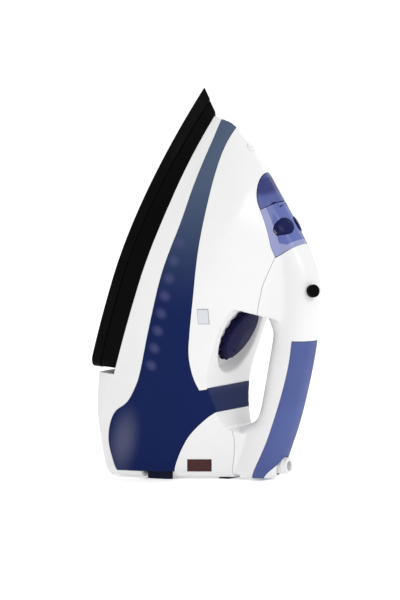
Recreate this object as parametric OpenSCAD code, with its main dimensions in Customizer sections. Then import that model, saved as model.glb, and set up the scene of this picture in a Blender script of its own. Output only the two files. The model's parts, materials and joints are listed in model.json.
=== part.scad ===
// Steam iron, standing on its heel. Millimetres, +Z up, with the surface that it stands on at z = 0.
// The pieces are drawn in the sole's own frame and stood up by on_heel():
// there X runs along the sole from its tip to the heel, Z is the height over the sole's face, Y is across.

/* [Stance] */
// Lean of the sole's face from upright while the iron stands, in degrees
lean = 18.5; // [17.5:0.5:19.5]
// Height of the sole's tip over the surface
tip_height = 290; // [288:1:293]
// Height of the rubber feet
foot_height = 6; // [5:0.5:7]
// Gap between the surface and the rims of the rear cover, handle and grip
rim_gap = 1.2; // [0.8:0.1:2]

/* [Soleplate] */
// Length of the soleplate
sole_length = 218; // [212:1:222]
// Greatest width of the soleplate
sole_width = 116; // [112:1:120]
// Distance from the tip to the greatest width
widest_at = 145; // [141:1:149]
// Height of the soleplate's edge
sole_edge = 7.5; // [6:0.5:8]
// Height of the soleplate's inner deck
sole_deck = 12; // [10.5:0.5:12.5]
// Diameter of a steam hole
steam_hole_d = 3.6; // [2.5:0.1:5]
// Number of steam holes along each side
steam_holes = 8; // [4:1:10]

/* [Heat shield] */
// Height of the black band over the sole's face
band_top = 21; // [20:0.5:22]
// Thickness of the band's wall
band_wall = 2.6; // [2:0.1:3.2]
// Thickness of the shield's deck
shield_deck = 1.6; // [1.2:0.1:2]

/* [Shell] */
// How far the shell stands back from the sole's edge where both are widest
shell_inset = 1; // [0:0.5:3]
// Half the width of the shell where it meets the handle
neck_half = 15; // [14:0.5:16]
// Height at which the shoulder has narrowed to the neck
neck_height = 128; // [125:1:132]
// Thickness of the moulded walls
wall = 2.4; // [2:0.1:2.8]
// Gap between neighbouring mouldings
seam = 0.3; // [0.2:0.05:0.5]
// Radius of the heel's upright corners
heel_corner = 10; // [7:1:12]
// Distance of the nose behind the sole's tip
nose_start = 17; // [16:0.5:18.5]
// Height from which the nose rakes back
nose_foot = 30; // [29:0.5:31]
// Rake of the nose at its foot, as run over rise
foot_rake = 0.36; // [0.33:0.01:0.4]
// Rake of the nose higher up
nose_rake = 0.87; // [0.85:0.01:0.89]
// Height over which the one runs into the other
nose_bend = 20; // [18:1:22]

/* [Handle] */
// Height of the handle's top at its highest
handle_top = 151.5; // [149:0.5:154]
// Distance of that highest point from the tip
handle_peak = 220; // [215:1:225]
// Radius of the handle's long arch
handle_arch = 455; // [420:5:500]
// Height of the handle's underside
handle_under = 122.5; // [121:0.5:124]
// Half the width of the handle
handle_half = 15; // [14:0.5:15.5]
// Front of the finger gap
gap_front = 140; // [138:1:142]
// Rear of the finger gap
gap_rear = 229; // [227:1:231]
// Height of the deck under the finger gap
deck_height = 86.5; // [85:0.5:88]

/* [Dial] */
// Distance of the dial's centre from the tip
dial_at = 163; // [161:1:165]
// Diameter over the dial's teeth
dial_d = 46.5; // [44:0.5:49]
// Thickness of the dial
dial_t = 4; // [3.5:0.5:6]
// Number of teeth round the dial
dial_teeth = 18; // [12:2:24]
// Slope of the dial towards the heel, in degrees
dial_slope = 10.5; // [9:0.5:12]
// Diameter of the ring that the dial stands in
ring_d = 60; // [56:1:61]
// Thickness of that ring
ring_t = 2; // [1.5:0.1:2.5]
// Diameter of the dial's spindle
spindle_d = 6; // [5:0.5:7]

/* [Control panel] */
// Height of the panel's middle over the sole's face
panel_height = 92.3; // [91:0.1:94]
// Length of the blue panel with its flap
panel_length = 60; // [58:1:62]
// Width of the blue panel
panel_width = 38.4; // [36:0.4:40]
// Diameter of the two buttons
button_d = 12.6; // [11:0.2:13]
// Distance between the buttons' centres
button_pitch = 19.2; // [17:0.2:20]
// Travel of the buttons
button_travel = 3.5; // [2.5:0.5:4]
// Diameter of the pump plungers
plunger_d = 6; // [5:0.5:7]
// Turns of each button's spring
spring_turns = 4; // [3:1:6]
// Inner diameter of the filler neck
filler_d = 17; // [14:0.5:18]

/* [Steam lever] */
// Distance of the lever from the tip
lever_at = 110; // [108:1:112]
// Diameter of the lever's knob
knob_d = 9.5; // [8:0.5:10.5]
// Swing of the lever to each side, in degrees
lever_swing = 32; // [24:1:36]
// Diameter of the valve rod
rod_d = 3.2; // [2.6:0.2:4]

/* [Heel] */
// Thickness of the heel plate
plate_t = 3; // [2.5:0.5:4]
// Length of each rubber foot
foot_length = 20; // [18:1:28]
// Width of each rubber foot
foot_width = 7; // [6:0.5:8]
// Height over the sole's face of the middle of the lower feet
foot_at = 71; // [68:1:76]
// Diameter of the heel screws
screw_d = 3; // [2.5:0.5:3.5]
// Inner diameter of the cord inlet
cord_bore_d = 7.5; // [6:0.5:8]
// Height of the cord inlet over the surface
cord_height = 11; // [10:0.5:12]
// Length of the badge lens
badge_length = 16.5; // [14:0.5:20]
// Height of the badge lens
badge_height = 9.5; // [8:0.5:11]

/* [Fits] */
// Radial clearance of a shaft that turns or slides in its bore
running = 0.06; // [0.03:0.01:0.09]
// Clearance round a part that stands free in an opening
free = 0.5; // [0.3:0.05:0.8]

/* [Hidden] */
$fn = 48;

// --- lines of the form -------------------------------------------------------------------------

// How softly the handle's top runs into the nose line, and how it drops to the heel
crown_blend = 8;
tail_turn = 248;
tail_drop = 12;

// Where the sole's tip stands, so that the whole iron is centred over the origin
sole_reach = (sole_length - 0.8) * sin(lean);
crown_reach = max([for (d = [100 : 2 : 160]) top_h(d) * cos(lean) - d * sin(lean)]);
// The lever's axis lies under the crown and runs along it; the lever's knob may reach past the crown
lever_tilt = 30;
lever_depth = 15;
lever_out = lever_depth + 5;
pivot_at = lever_at + lever_depth * sin(lever_tilt);
pivot_height = top_h(lever_at) - lever_depth * cos(lever_tilt);
knob_lean = cos(lever_swing) * cos(lever_tilt - lean);
knob_reach = pivot_height * cos(lean) - pivot_at * sin(lean) + lever_out * knob_lean
    + knob_d / 2 * sqrt(1 - knob_lean * knob_lean);
tip_x = (sole_reach - max(crown_reach, knob_reach)) / 2;

// Distance from the tip to the surface's plane, measured along the sole at height h and z over it
function heel_d(h, z = 0) = (tip_height - z - h * sin(lean)) / cos(lean);

// World x of the point of the plane z that lies at height h over the sole's face
function heel_x(h, z = 0) = tip_x + h / cos(lean) - (tip_height - z) * tan(lean);

// The nose line: distance from the tip at height h, and the same line read the other way
function nose_d(h) = let (r = max(0, h - nose_foot)) nose_start + nose_rake * r
    - (nose_rake - foot_rake) * nose_bend * (1 - exp(-r / nose_bend));
function slope_of_nose(h) = nose_rake - (nose_rake - foot_rake) * exp(-max(0, h - nose_foot) / nose_bend);
function nose_h(d, low = 0, high = 500, n = 26) = n == 0 ? (low + high) / 2
    : let (mid = (low + high) / 2) nose_d(mid) > d ? nose_h(d, low, mid, n - 1) : nose_h(d, mid, high, n - 1);

// The handle's long arch, and the top line in which it runs softly into the nose line and the heel
function arch_h(d) = handle_top - pow(d - handle_peak, 2) / (2 * handle_arch);
function top_h(d) = -crown_blend * ln(exp(-nose_h(d) / crown_blend) + exp(-arch_h(d) / crown_blend))
    - pow(max(0, d - tail_turn), 2) / tail_drop;

// The handle's underside, which runs down into the two posts
root_front = gap_front + 15;
root_rear = gap_rear - 15;
palm_from = 207;
palm_swell = 0.14;
function under_h(d) = max(top_h(d) - 40, handle_under - palm_swell * max(0, palm_from - d)
    - 10 * pow(max(0, root_front - d) / 15, 2) - 10 * pow(max(0, d - root_rear) / 12, 2));

// The deck under the finger gap
scoop_front = 62;
scoop_rear = 43;
scoop_end = dial_at + 24;
function deck_h(d) = deck_height + pow(max(0, dial_at - d), 2) / (2 * scoop_front)
    + pow(max(0, d - scoop_end), 2) / (2 * scoop_rear);

// Half the width of the sole, and of the shell at distance d and height h
sole_taper = 220;
sole_point = 1.85;
function sole_half(d) = sole_width / 2
    * (d < widest_at ? 1 - pow(1 - d / widest_at, sole_point) : 1 - pow((d - widest_at) / sole_taper, 2));
shell_half = sole_width / 2 - shell_inset;
shell_taper = 260;
tuck = 7;
function plan_half(d) = d < widest_at ? shell_half
    : shell_half * (1 - pow((d - widest_at) / shell_taper, 2));
function shoulder(h) = h <= band_top ? 1
    : pow(cos(90 * pow(min(1, (h - band_top) / (neck_height - band_top)), 1.6)), 2);
function bluntness(h) = 1 - 0.4 * min(1, max(0, (h - 25) / 45));
function full_half(d, h) = neck_half + (plan_half(d) - neck_half) * shoulder(h)
    - tuck * pow(max(0, band_top - h) / 16, 2);

// Stations from the front to the rear of an outline: close together at its nose and at its corners
function stations(front, rear, corner) = concat(
    [for (i = [0 : 13]) front + (widest_at - front) * (1 - cos(90 * i / 13))],
    [for (i = [1 : 6]) widest_at + (rear - corner - widest_at) * i / 6],
    [for (i = [1 : 4]) rear - corner + corner * sin(90 * i / 4)]);
function rounded(d, rear, corner) = let (over = max(0, d - (rear - corner)))
    corner - sqrt(max(0, corner * corner - over * over));
function both_sides(ds, ys, h) = let (last = len(ds) - 1) concat([[ds[0], 0, h]],
    [for (i = [1 : last]) [ds[i], -ys[i], h]], [for (i = [last : -1 : 1]) [ds[i], ys[i], h]]);

// One level outline of the shell, inset by t
function shell_ring(h, t) = let (
    front = nose_d(h) + 1.5 * t,
    rear = heel_d(h, rim_gap) - t,
    corner = heel_corner - t,
    ds = stations(front, rear, corner),
    ys = [for (d = ds) let (u = min(1, max(0, (d - front) / (widest_at - front))))
        (full_half(d, h) - t) * pow(1 - pow(1 - u, 2), bluntness(h)) - rounded(d, rear, corner)])
    both_sides(ds, ys, h);

// One level outline of the sole, inset by t, with its prow raked back
prow_rake = 0.95;
stern_rake = 0.25;
sole_corner = 8;
function sole_ring(h, t) = let (
    front = prow_rake * h + 1.6 * t,
    rear = sole_length - stern_rake * h - t,
    ds = stations(front, rear, sole_corner),
    ys = [for (d = ds) (d < widest_at
        ? (sole_width / 2 - t) * (1 - pow((widest_at - d) / (widest_at - front), sole_point))
        : sole_half(d) - t) - rounded(d, rear, sole_corner)])
    both_sides(ds, ys, h);

// One cross-section of the handle, inset by t
squareness = 2.6;
bar_sink = 2;
function signed_pow(v, p) = sign(v) * pow(abs(v), p);
function bar_ring(d, t) = let (
    top = top_h(d) - bar_sink * pow(max(0, 100 - d) / 50, 2) - t,
    low = under_h(d) + t,
    half = handle_half - t)
    [for (i = [0 : 27]) let (a = 360 * (i + 0.5) / 28)
        [d, half * signed_pow(cos(a), 2 / squareness),
         (top + low) / 2 + (top - low) / 2 * signed_pow(sin(a), 2 / squareness)]];

shell_low = 4;
shell_high = 120;
function shell_levels(t) = [for (h = [shell_low + t, 12, band_top, 27, 34, 41, 48, 55, 62, 69, 76, 83, 90,
    96, 102, 108, 114, shell_high - t]) h];
bar_stations = [50, 57, 64, 71, 78, 85, 91, 97, 103, 109, 115, 122, 130, 138, 146, 154, 166, 180, 195, 208,
    216, 222, 228, 234, 241, 248, 253, 258, 262];

// --- helpers -----------------------------------------------------------------------------------

module on_heel() translate([tip_x, 0, tip_height]) rotate([0, 90 + lean, 0]) children();

module off_heel() rotate([0, -90 - lean, 0]) translate([-tip_x, 0, -tip_height]) children();

// A side view, drawn in distance and height, made a prism across the iron
module side(points, width = 160) rotate([90, 0, 0]) linear_extrude(width, center = true) polygon(points);

// The same, drawn smaller by half a seam all round
module panel_side(points, low = -80, high = 80)
    translate([0, high, 0]) rotate([90, 0, 0]) linear_extrude(high - low)
        offset(delta = -seam / 2) polygon(points);

// A solid that runs through level outlines or cross-sections
module loft(rings)
    for (i = [0 : len(rings) - 2])
        hull() {
            points = concat(rings[i], rings[i + 1]);
            polyhedron(points, [[for (k = [0 : len(points) - 1]) k]]);
        }

// A closed solid through outlines with the same number of points
module stack(rings) {
    n = len(rings[0]);
    top = len(rings) - 1;
    polyhedron([for (r = rings) for (p = r) p], concat(
        [[for (i = [0 : n - 1]) i]],
        [for (k = [0 : top - 1]) for (i = [0 : n - 1]) each let (j = (i + 1) % n)
            [[k * n + j, k * n + i, (k + 1) * n + i], [k * n + j, (k + 1) * n + i, (k + 1) * n + j]]],
        [[for (i = [n - 1 : -1 : 0]) top * n + i]]));
}

// A smooth line through a few points
function bend(a, b, c, d, t) = 0.5 * (2 * b + (c - a) * t + (2 * a - 5 * b + 4 * c - d) * t * t
    + (3 * b - a - 3 * c + d) * t * t * t);
function smooth(p, n = 3) = let (last = len(p) - 1) concat(
    [for (i = [0 : last - 1]) for (k = [0 : n - 1])
        bend(p[max(0, i - 1)], p[i], p[i + 1], p[min(last, i + 2)], k / n)],
    [p[last]]);
function reversed(p) = [for (i = [len(p) - 1 : -1 : 0]) p[i]];
function shifted(p, by) = [for (q = p) q + by];

// The half space over the surface, z higher than it
module over_surface(z)
    side([[-20, -20], [heel_d(-20, z), -20], [heel_d(190, z), 190], [-20, 190]]);

// The finger gap through the shell, grown by t
gap_round = 33.5;
module finger_gap(t) {
    floor_line = [for (i = [0 : 12]) let (d = gap_front - t + (gap_rear - gap_front + 2 * t) * i / 12)
        [d, deck_h(d) - t]];
    side(concat([[gap_front - t, shell_high + 9]], floor_line, [[gap_rear + t, shell_high + 9]]));
    intersection() {
        at_dial(0) cylinder(r = gap_round + t, h = 60);
        side([[100, deck_h(gap_front) - t], [dial_at, deck_h(gap_front) - t], [dial_at, shell_high + 9],
              [100, shell_high + 9]]);
    }
    at_dial(-ring_t - ring_gap - t) cylinder(d = ring_d + 2 * running + 2 * t, h = 30);
}

// The dial's axis: the origin at the dial's underside, Z along the spindle
ring_gap = 0.3;
dial_seat = deck_height - 3.2;
module at_dial(up) translate([dial_at, 0, dial_seat]) rotate([0, dial_slope, 0]) translate([0, 0, up])
    children();

// The outer form of all mouldings together, inset by t
module form(t) intersection() {
    union() {
        difference() {
            loft([for (h = shell_levels(t)) shell_ring(h, t)]);
            finger_gap(t);
        }
        loft([for (d = bar_stations) bar_ring(d, t)]);
    }
    over_surface(rim_gap + t / 2);
}

// The moulded skin within a side view
module skin(points, low = -80, high = 80) difference() {
    intersection() {
        form(0);
        panel_side(points, low, high);
    }
    form(wall);
}

// --- edges of the mouldings, in the side view ---------------------------------------------------

far = 40;
heel_end = heel_d(139);
band_line = [[-5, band_top - 8.1], [14, band_top - 6.6], [58, band_top - 3], [80, band_top - 1.2],
    [100, band_top - 0.3], [125, band_top]];
prow_line = [for (p = band_line) p - [0, shield_deck]];
strip_line = smooth([[0, band_top - 2], [nose_start + 1, band_top + 0.6], [35, band_top + 4.6],
    [64, band_top + 10], [93, band_top + 14.4], [130, band_top + 15.5], [175, band_top + 18.5],
    [sole_length - 11, band_top + 20.6], [sole_length + 4, band_top + 19.2],
    [sole_length + 15, band_top + 15.8], [sole_length + 24, band_top + 9],
    [sole_length + 33, band_top + 6.7], [sole_length + 44, band_top + 7.2],
    [sole_length + 54, band_top + 10.5], [sole_length + 66, band_top + 17.5],
    [sole_length + 82, band_top + 27]]);
tank_line = smooth([[0, band_top + 13], [nose_start + 7, band_top + 14], [36, band_top + 15.8],
    [49, band_top + 19.3], [77, band_top + 27.7], [105, band_top + 35], [135, band_top + 42.3],
    [dial_at + 2, band_top + 47.7], [dial_at + 17, band_top + 50.7], [dial_at + 28, band_top + 54.7],
    [dial_at + 37, band_top + 59.5], [dial_at + 43, band_top + 64]]);
branch_tip = [dial_at + 41, band_top + 68];
branch_front = [dial_at + 33, deck_height + 4];
branch_line = smooth([[dial_at + 45, deck_height + 26], [dial_at + 51, deck_height + 16],
    [dial_at + 57, deck_height + 11], [226, 93.5], [237, 88], [248, 84.5], [265, 82.2], [heel_end + 31, 82]]);
tail_line = [[sole_length - 2, band_top + 0.3], [sole_length + 2, 6.5], [sole_length + 28, 13.5],
    [sole_length + 64, 29], [sole_length + 90, 41.5]];
split_front = [[95.5, 103.4], [118, 103], [gap_front + 3, 106]];
split_rear = smooth([[gap_rear - 9, 104], [gap_rear - 1, 110.5], [gap_rear + 9, 115.5],
    [gap_rear + 30, 119.5], [heel_end + far, 122]]);
panel_end = [60, 131.8];
grip_start = [[143, 160], [147, 144], [150.5, 134.5]];
grip_line = smooth([[150.5, 134.5], [165, 137.2], [182, 138.8], [205, 139.4], [230, 138.5], [262, 134.5],
    [heel_end + 31, 131]]);
cap_line = [[heel_end - 28, 162], [heel_end - 23, 153], [heel_end + 3, 139], [heel_end + 21, 129]];

lower_edge = concat(shifted(band_line, [0, 0.3]), tail_line, [[sole_length + 90, band_top + 40]],
    reversed(strip_line));
tank_edge = concat(strip_line, [[heel_d(60) + far, 60]], reversed(branch_line), [branch_front, branch_tip],
    reversed(tank_line));
front_edge = concat(tank_line, [branch_tip, branch_front, [dial_at + 34, 100]], reversed(split_front),
    [panel_end, [-5, 131.8]]);
handle_edge = concat([panel_end], split_front, [[dial_at, 103], [gap_rear - 30, 102]], split_rear,
    [[heel_end + far, 131]], reversed(grip_line), reversed(grip_start), [[60, 160]]);
rear_edge = concat(branch_line, [[heel_end + 50, 110]], reversed(split_rear), [[gap_rear - 14, 106]]);
grip_edge = concat(grip_start, grip_line, [[heel_end + 32, 128]], reversed(cap_line));
cap_edge = concat(cap_line, [[heel_end + far, 129], [heel_end + far, 170], [heel_end - 28, 170]]);

// The black band's upper edge, which comes down towards the prow

// --- soleplate group ----------------------------------------------------------------------------

thermo_at = dial_at - (dial_seat - band_top - 7) * tan(dial_slope);
stub_d = 3.4;
fuse_at = 182;
element_bend = 0.19 * sole_width;
element_front = 88;
element_rear = 203;
element_d = 6.4;
chamber_front = 70;
chamber_rear = 134;
chamber_half = 15;
chamber_top = 16;
post_d = 8;
posts = [[38, 0], [172, 36], [172, -36]];
post_tops = [band_top - 6.65, band_top - shield_deck - 0.1, band_top - shield_deck - 0.1];

module element_path(r) {
    translate([element_front, 0, 0]) rotate([0, 0, 90]) rotate_extrude(angle = 180)
        translate([element_bend, 0]) circle(r);
    for (s = [-1, 1])
        translate([element_front, s * element_bend, 0]) rotate([0, 90, 0])
            cylinder(r = r, h = element_rear - element_front);
}

module steam_chamber_plan(inset) {
    r = chamber_half - inset;
    translate([chamber_front + chamber_half, 0]) circle(r);
    translate([chamber_rear - chamber_half, 0]) circle(r);
    translate([chamber_front + chamber_half, -r])
        square([chamber_rear - chamber_front - 2 * chamber_half, 2 * r]);
}

module soleplate() color("#1a1a1d") on_heel() difference() {
    union() {
        stack([sole_ring(0, 0.8), sole_ring(0.8, 0), sole_ring(sole_edge, 0)]);
        translate([0, 0, sole_edge - 1]) linear_extrude(sole_deck - sole_edge + 1)
            polygon([for (p = sole_ring(sole_deck, band_wall + 3.4)) [p[0], p[1]]]);
        translate([0, 0, sole_deck - 1]) linear_extrude(chamber_top - sole_deck + 1) difference() {
            steam_chamber_plan(0);
            steam_chamber_plan(2);
        }
        for (i = [0 : 2]) translate([posts[i][0], posts[i][1], sole_deck - 1])
            cylinder(d = post_d, h = post_tops[i] - sole_deck + 1);
    }
    translate([0, 0, sole_deck + 0.6]) element_path(element_d / 2 + running);
    for (s = [-1, 1]) translate([element_rear - 0.1, s * element_bend, sole_deck + 0.6]) rotate([0, 90, 0])
        cylinder(d = element_d + 2 * running, h = 30);
    for (i = [0 : steam_holes - 1]) for (s = [-1, 1]) {
        d = 44 + 118 * i / (steam_holes - 1);
        translate([d, s * (sole_half(d) - 10), -1]) cylinder(d = steam_hole_d, h = sole_deck + 2);
    }
    for (i = [0 : 2]) for (s = [-1, 1])
        translate([30 + 7 * i, s * 3.2 * i, -1]) cylinder(d = steam_hole_d, h = sole_deck + 8);
    for (p = posts) translate([p[0], p[1], sole_edge]) cylinder(d = screw_d, h = 20);
}

module chamber_cover() color("#b9bcc0") on_heel() translate([0, 0, chamber_top]) linear_extrude(1)
    difference() {
        steam_chamber_plan(0);
        translate([rod_at, 0]) circle(d = seat_d + 2 * running);
    }

module heating_element() color("#8d9095") on_heel() translate([0, 0, sole_deck + 0.6])
    element_path(element_d / 2);

module element_pins() color("#c8b273") on_heel() for (s = [-1, 1])
    translate([element_rear, s * element_bend, sole_deck + 0.6]) rotate([0, 90, 0]) {
        cylinder(d = element_d - 1.4, h = 1.6);
        cylinder(d = 2.4, h = 8);
    }

module heat_shield() color("#0f0f12") on_heel() difference() {
    stack([sole_ring(sole_edge + 0.4, 0.4), sole_ring(band_top, 0.4)]);
    side(concat(band_line, [[125, band_top + 9], [-5, band_top + 9]]));
    difference() {
        stack([sole_ring(sole_edge - 2, band_wall + 0.4),
            sole_ring(band_top - shield_deck, band_wall + 0.4)]);
        side(concat(prow_line, [[125, band_top + 9], [-5, band_top + 9]]));
    }
    translate([thermo_at, 0, 0]) cylinder(d = thermo_d + 2 * free, h = band_top + 5);
    translate([rod_at, 0, 0]) cylinder(d = seat_d + 2 * free, h = band_top + 5);
    for (s = [-1, 1]) translate([element_rear + 6, s * element_bend, 0]) cylinder(d = 6, h = band_top + 5);
    for (p = posts) translate([p[0], p[1], 0]) cylinder(d = screw_d + 2 * running, h = band_top + 5);
}

thermo_d = 22;
thermo_top = 25;
module thermostat() color("#d9d4c5") on_heel() {
    translate([thermo_at, 0, sole_deck]) cylinder(d = thermo_d - 4, h = 3);
    translate([thermo_at, 0, sole_deck + 3]) cylinder(d = thermo_d, h = thermo_top - sole_deck - 3);
    at_dial(-spindle_length - 9) cylinder(d = stub_d, h = 13);
}

// The spindle hangs under the dial and ends in a sleeve over the thermostat's stub
spindle_length = (dial_seat - thermo_top - 7.2) / cos(dial_slope);
module thermostat_spindle() color("#e8e6df") on_heel() at_dial(0) difference() {
    translate([0, 0, -spindle_length]) cylinder(d = spindle_d, h = spindle_length + dial_t - 2.5);
    translate([0, 0, -spindle_length - 1]) cylinder(d = stub_d + 2 * running, h = 8);
}

module thermal_fuse() color("#cfc9b4") on_heel() {
    translate([fuse_at, -7, sole_deck]) cube([8, 14, 4.5]);
    translate([fuse_at + 4, 0, sole_deck + 2.2]) rotate([90, 0, 0]) cylinder(d = 1.2, h = 24, center = true);
}

block_at = gap_rear + 14;
module terminal_block() color("#e9e6da") on_heel() translate([block_at, 0, 0]) difference() {
    translate([0, -15, 104]) cube([12, 30, 11]);
    for (i = [-1 : 1]) translate([-1, i * 9, 109.5]) rotate([0, 90, 0]) cylinder(d = 4.2, h = 14);
}

// --- mouldings ----------------------------------------------------------------------------------

shelf = band_top + 0.3;
shelf_top = shelf + 2;
// The heel's rim under the tank, as far as the feet
rim_end = foot_at - foot_length / 2 - 2;
module heel_rim() difference() {
    intersection() {
        form(0);
        panel_side([[sole_length + 28, 13.5], [sole_length + 64, 29], [sole_length + 90, 41.5],
            [sole_length + 90, rim_end], [sole_length + 28, rim_end]]);
    }
    form(wall);
    over_surface(foot_height - seam);
}

module lower_shell() color("#f4f4f6") on_heel() difference() {
    union() {
        skin(lower_edge);
        heel_rim();
        intersection() {
            form(seam);
            union() {
                side(concat(tail_line, reversed(shifted(tail_line, [wall, wall]))));
                side([[38, shelf], [sole_length + 6, shelf], [sole_length + 6, shelf_top], [38, shelf_top]]);
                intersection() {
                    form(wall + seam);
                    side([[32, shelf], [39, shelf], [39, shelf_top], [32, shelf_top]]);
                }
            }
            over_surface(foot_height);
        }
    }
    translate([thermo_at, 0, 0]) cylinder(d = thermo_d + 4 * free, h = 60);
    translate([rod_at, 0, 0]) cylinder(d = seat_d + 2 * free, h = 60);
    for (s = [-1, 1]) translate([element_rear + 6, s * element_bend, 0]) cylinder(d = 8, h = 60);
    for (p = posts) translate([p[0], p[1], 0]) cylinder(d = screw_d + 2 * free, h = 60);
}

tank_floor = band_top + 23;
module water_tank() color("#1f2f6e") on_heel() difference() {
    union() {
        intersection() {
            skin(tank_edge);
            over_surface(foot_height);
        }
        intersection() {
            form(wall / 2);
            side([[88, tank_floor], [238, tank_floor], [238, tank_floor + wall], [88, tank_floor + wall]]);
        }
        intersection() {
            form(wall / 2);
            side([[236, tank_floor], [238.4, tank_floor], [238.4, 80], [236, 80]]);
        }
        spindle_tube(spindle_d / 2 + 2 * free + 2);
    }
    spindle_tube(spindle_d / 2 + 2 * free, 10);
    at_dial(-ring_t - ring_gap - 9) cylinder(d = ring_d + 2 * wall + 4, h = 26);
    translate([rod_at, 0, 0]) cylinder(d = seat_d + 2 * running, h = 100);
    off_heel() foot_room();
}

// The passage of the spindle through the tank
module spindle_tube(r, more = 0) intersection() {
    at_dial(-70) cylinder(r = r, h = 80);
    translate([100, -20, tank_floor + 0.6 - more]) cube([100, 40, 68 + more - tank_floor]);
}

lid_line = shifted([for (p = tank_line) if (p[0] > 70) p], [0, -0.6 - wall]);
module tank_lid() color("#3a4f9e") on_heel() difference() {
    intersection() {
        form(wall + seam);
        side(concat([[66, 42.9]], lid_line, [[235.6, 78]], [[235.6, 76]],
            reversed(shifted(lid_line, [0, -2])), [[66, 41.2]]));
    }
    at_dial(-70) cylinder(r = spindle_d / 2 + 3 * free + 2.2, h = 80);
    translate([rod_at, 0, 0]) cylinder(d = rod_d + 2 * free, h = 100);
    for (s = [-1, 1]) pump_at(s, -90) cylinder(d = 4 + 2 * running, h = 60);
    on_slope() translate([plug_s, 0, -80]) cylinder(d = filler_d + 3 + 2 * running, h = 60);
}

module tank_seal() color("#3c3c40") on_heel() translate([rod_at, 0, tank_floor + wall])
    difference() {
        cylinder(d = seat_d + 6, h = 2);
        translate([0, 0, -1]) cylinder(d = seat_d + 2 * running, h = 4);
    }

module front_cover() color("#f6f6f8") on_heel() difference() {
    skin(front_edge);
    on_slope() panel_plan(seam, 30, -40);
    at_dial(-20) cylinder(r = spindle_d / 2 + 2 * free, h = 30);
    nozzle_axis() translate([0, 0, -30]) cylinder(d = nozzle_d + 2 * running, h = 60);
    side_window(pilot_at, pilot_size + [seam, seam]);
}

module handle_shell() color("#f6f6f8") on_heel() difference() {
    skin(handle_edge);
    lever_slot();
}

module rear_cover() color("#f4f4f6") difference() {
    on_heel() difference() {
        skin(rear_edge);
        side_window(badge_at, badge_size + [seam, seam]);
    }
    foot_room();
}

module grip() color("#3d4c9c") difference() {
    on_heel() skin(grip_edge);
    at_inlet(-20) cylinder(d = neck_d + 1.5 + 2 * free, h = 60);
    at_inlet(-16) translate([-8 - free, -9 - free, -3 - free])
        cube([16 + 2 * free, 18 + 2 * free, 9.5 + 2 * free]);
}

module end_cap() color("#eeeef2") difference() {
    on_heel() skin(cap_edge);
    at_inlet(-20) cylinder(d = neck_d + 1.5 + 2 * free, h = 60);
}

// --- control panel ------------------------------------------------------------------------------

// The middle of the panel on the nose line: X up the slope, Z out of it
panel_tilt = atan(1 / slope_of_nose(panel_height));
module on_slope() translate([nose_d(panel_height), 0, panel_height]) rotate([0, -panel_tilt, 0]) children();

tip_run = 22.5;
flap_split = -6;
module panel_plan(grow, high, low, from = -100, to = 100) translate([0, 0, low])
    linear_extrude(high - low) {
        half = panel_width / 2 + grow;
        start = -panel_length / 2 - grow;
        outline = [for (i = [0 : 12]) let (a = 90 * i / 12)
            [start + (tip_run + grow) * (1 - cos(a)), half * sin(a)]];
        intersection() {
            polygon(concat(outline, [[panel_length / 2 - 8, half], [panel_length / 2 + grow, half - 1.4],
                [panel_length / 2 + grow, 1.4 - half], [panel_length / 2 - 8, -half]],
                [for (p = reversed(outline)) [p[0], -p[1]]]));
            translate([from, -50]) square([to - from, 100]);
        }
    }

module panel_skin(from, to) intersection() {
    difference() {
        form(0.2);
        form(wall);
    }
    on_slope() panel_plan(0, 30, -40, from, to);
}

module control_panel() color("#4a5cb0", 0.9) on_heel() difference() {
    panel_skin(flap_split + 0.4, 100);
    for (s = [-1, 1]) pump_at(s, -20) cylinder(d = button_d + 2 * seam, h = 40);
    at_hinge() cylinder(d = knuckle_d + 2.2, h = 2 * knuckle_half + 0.6, center = true);
    at_hinge() cylinder(d = pin_d, h = 2 * knuckle_half + 2.4, center = true);
}

hinge_n = -3;
knuckle_d = 4.2;
knuckle_half = 6;
pin_d = 1.4;
module at_hinge() on_slope() translate([flap_split + 1.6, 0, hinge_n]) rotate([90, 0, 0]) children();
module filler_flap() color("#5a6cc0", 0.85) on_heel() difference() {
    intersection() {
        panel_skin(-100, flap_split - 0.1);
        on_slope() panel_plan(-seam, 30, -40);
    }
    at_hinge() cylinder(d = knuckle_d + 0.1, h = 2 * knuckle_half + 0.4, center = true);
}

plug_s = -19;
module flap_plug() color("#5a6cc0") on_heel() difference() {
    union() {
        at_hinge() cylinder(d = knuckle_d, h = 2 * knuckle_half, center = true);
        on_slope() translate([plug_s - 3, -5, hinge_n - 2.6]) cube([flap_split - plug_s + 4.6, 10, 1.2]);
        on_slope() translate([plug_s, 0, hinge_n - 6.5]) cylinder(d = filler_d - 1.4, h = 4.5);
    }
    at_hinge() cylinder(d = pin_d + 2 * running, h = 40, center = true);
}

neck_low = tank_floor + wall + 2;
module filler_neck() color("#5a6cc0", 0.8) on_heel() difference() {
    on_slope() translate([plug_s, 0, hinge_n - 60]) cylinder(d = filler_d + 3, h = 56.4);
    on_slope() translate([plug_s, 0, hinge_n - 70]) cylinder(d = filler_d, h = 74);
    side([[0, -20], [200, -20], [200, neck_low], [0, neck_low]]);
}

module filler_pin() color("#c4c6ca") on_heel() at_hinge()
    cylinder(d = pin_d, h = 2 * knuckle_half + 2.4, center = true);

// A button's axis: s picks the side, Z out of the slope, from the panel's crown line
button_s = 13;
dome_r = 23.5;
button_rise = 0.9;
module pump_at(s, up) on_slope() translate([button_s, s * button_pitch / 2, up]) children();

module button(s) {
    intersection() {
        pump_at(s, -9) cylinder(d = button_d, h = 14);
        on_slope() translate([button_s, 0, button_rise - dome_r]) sphere(dome_r, $fn = 96);
    }
}
module steam_button() color("#1b2360") on_heel() button(-1);
module spray_button() color("#1b2360") on_heel() button(1);

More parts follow.
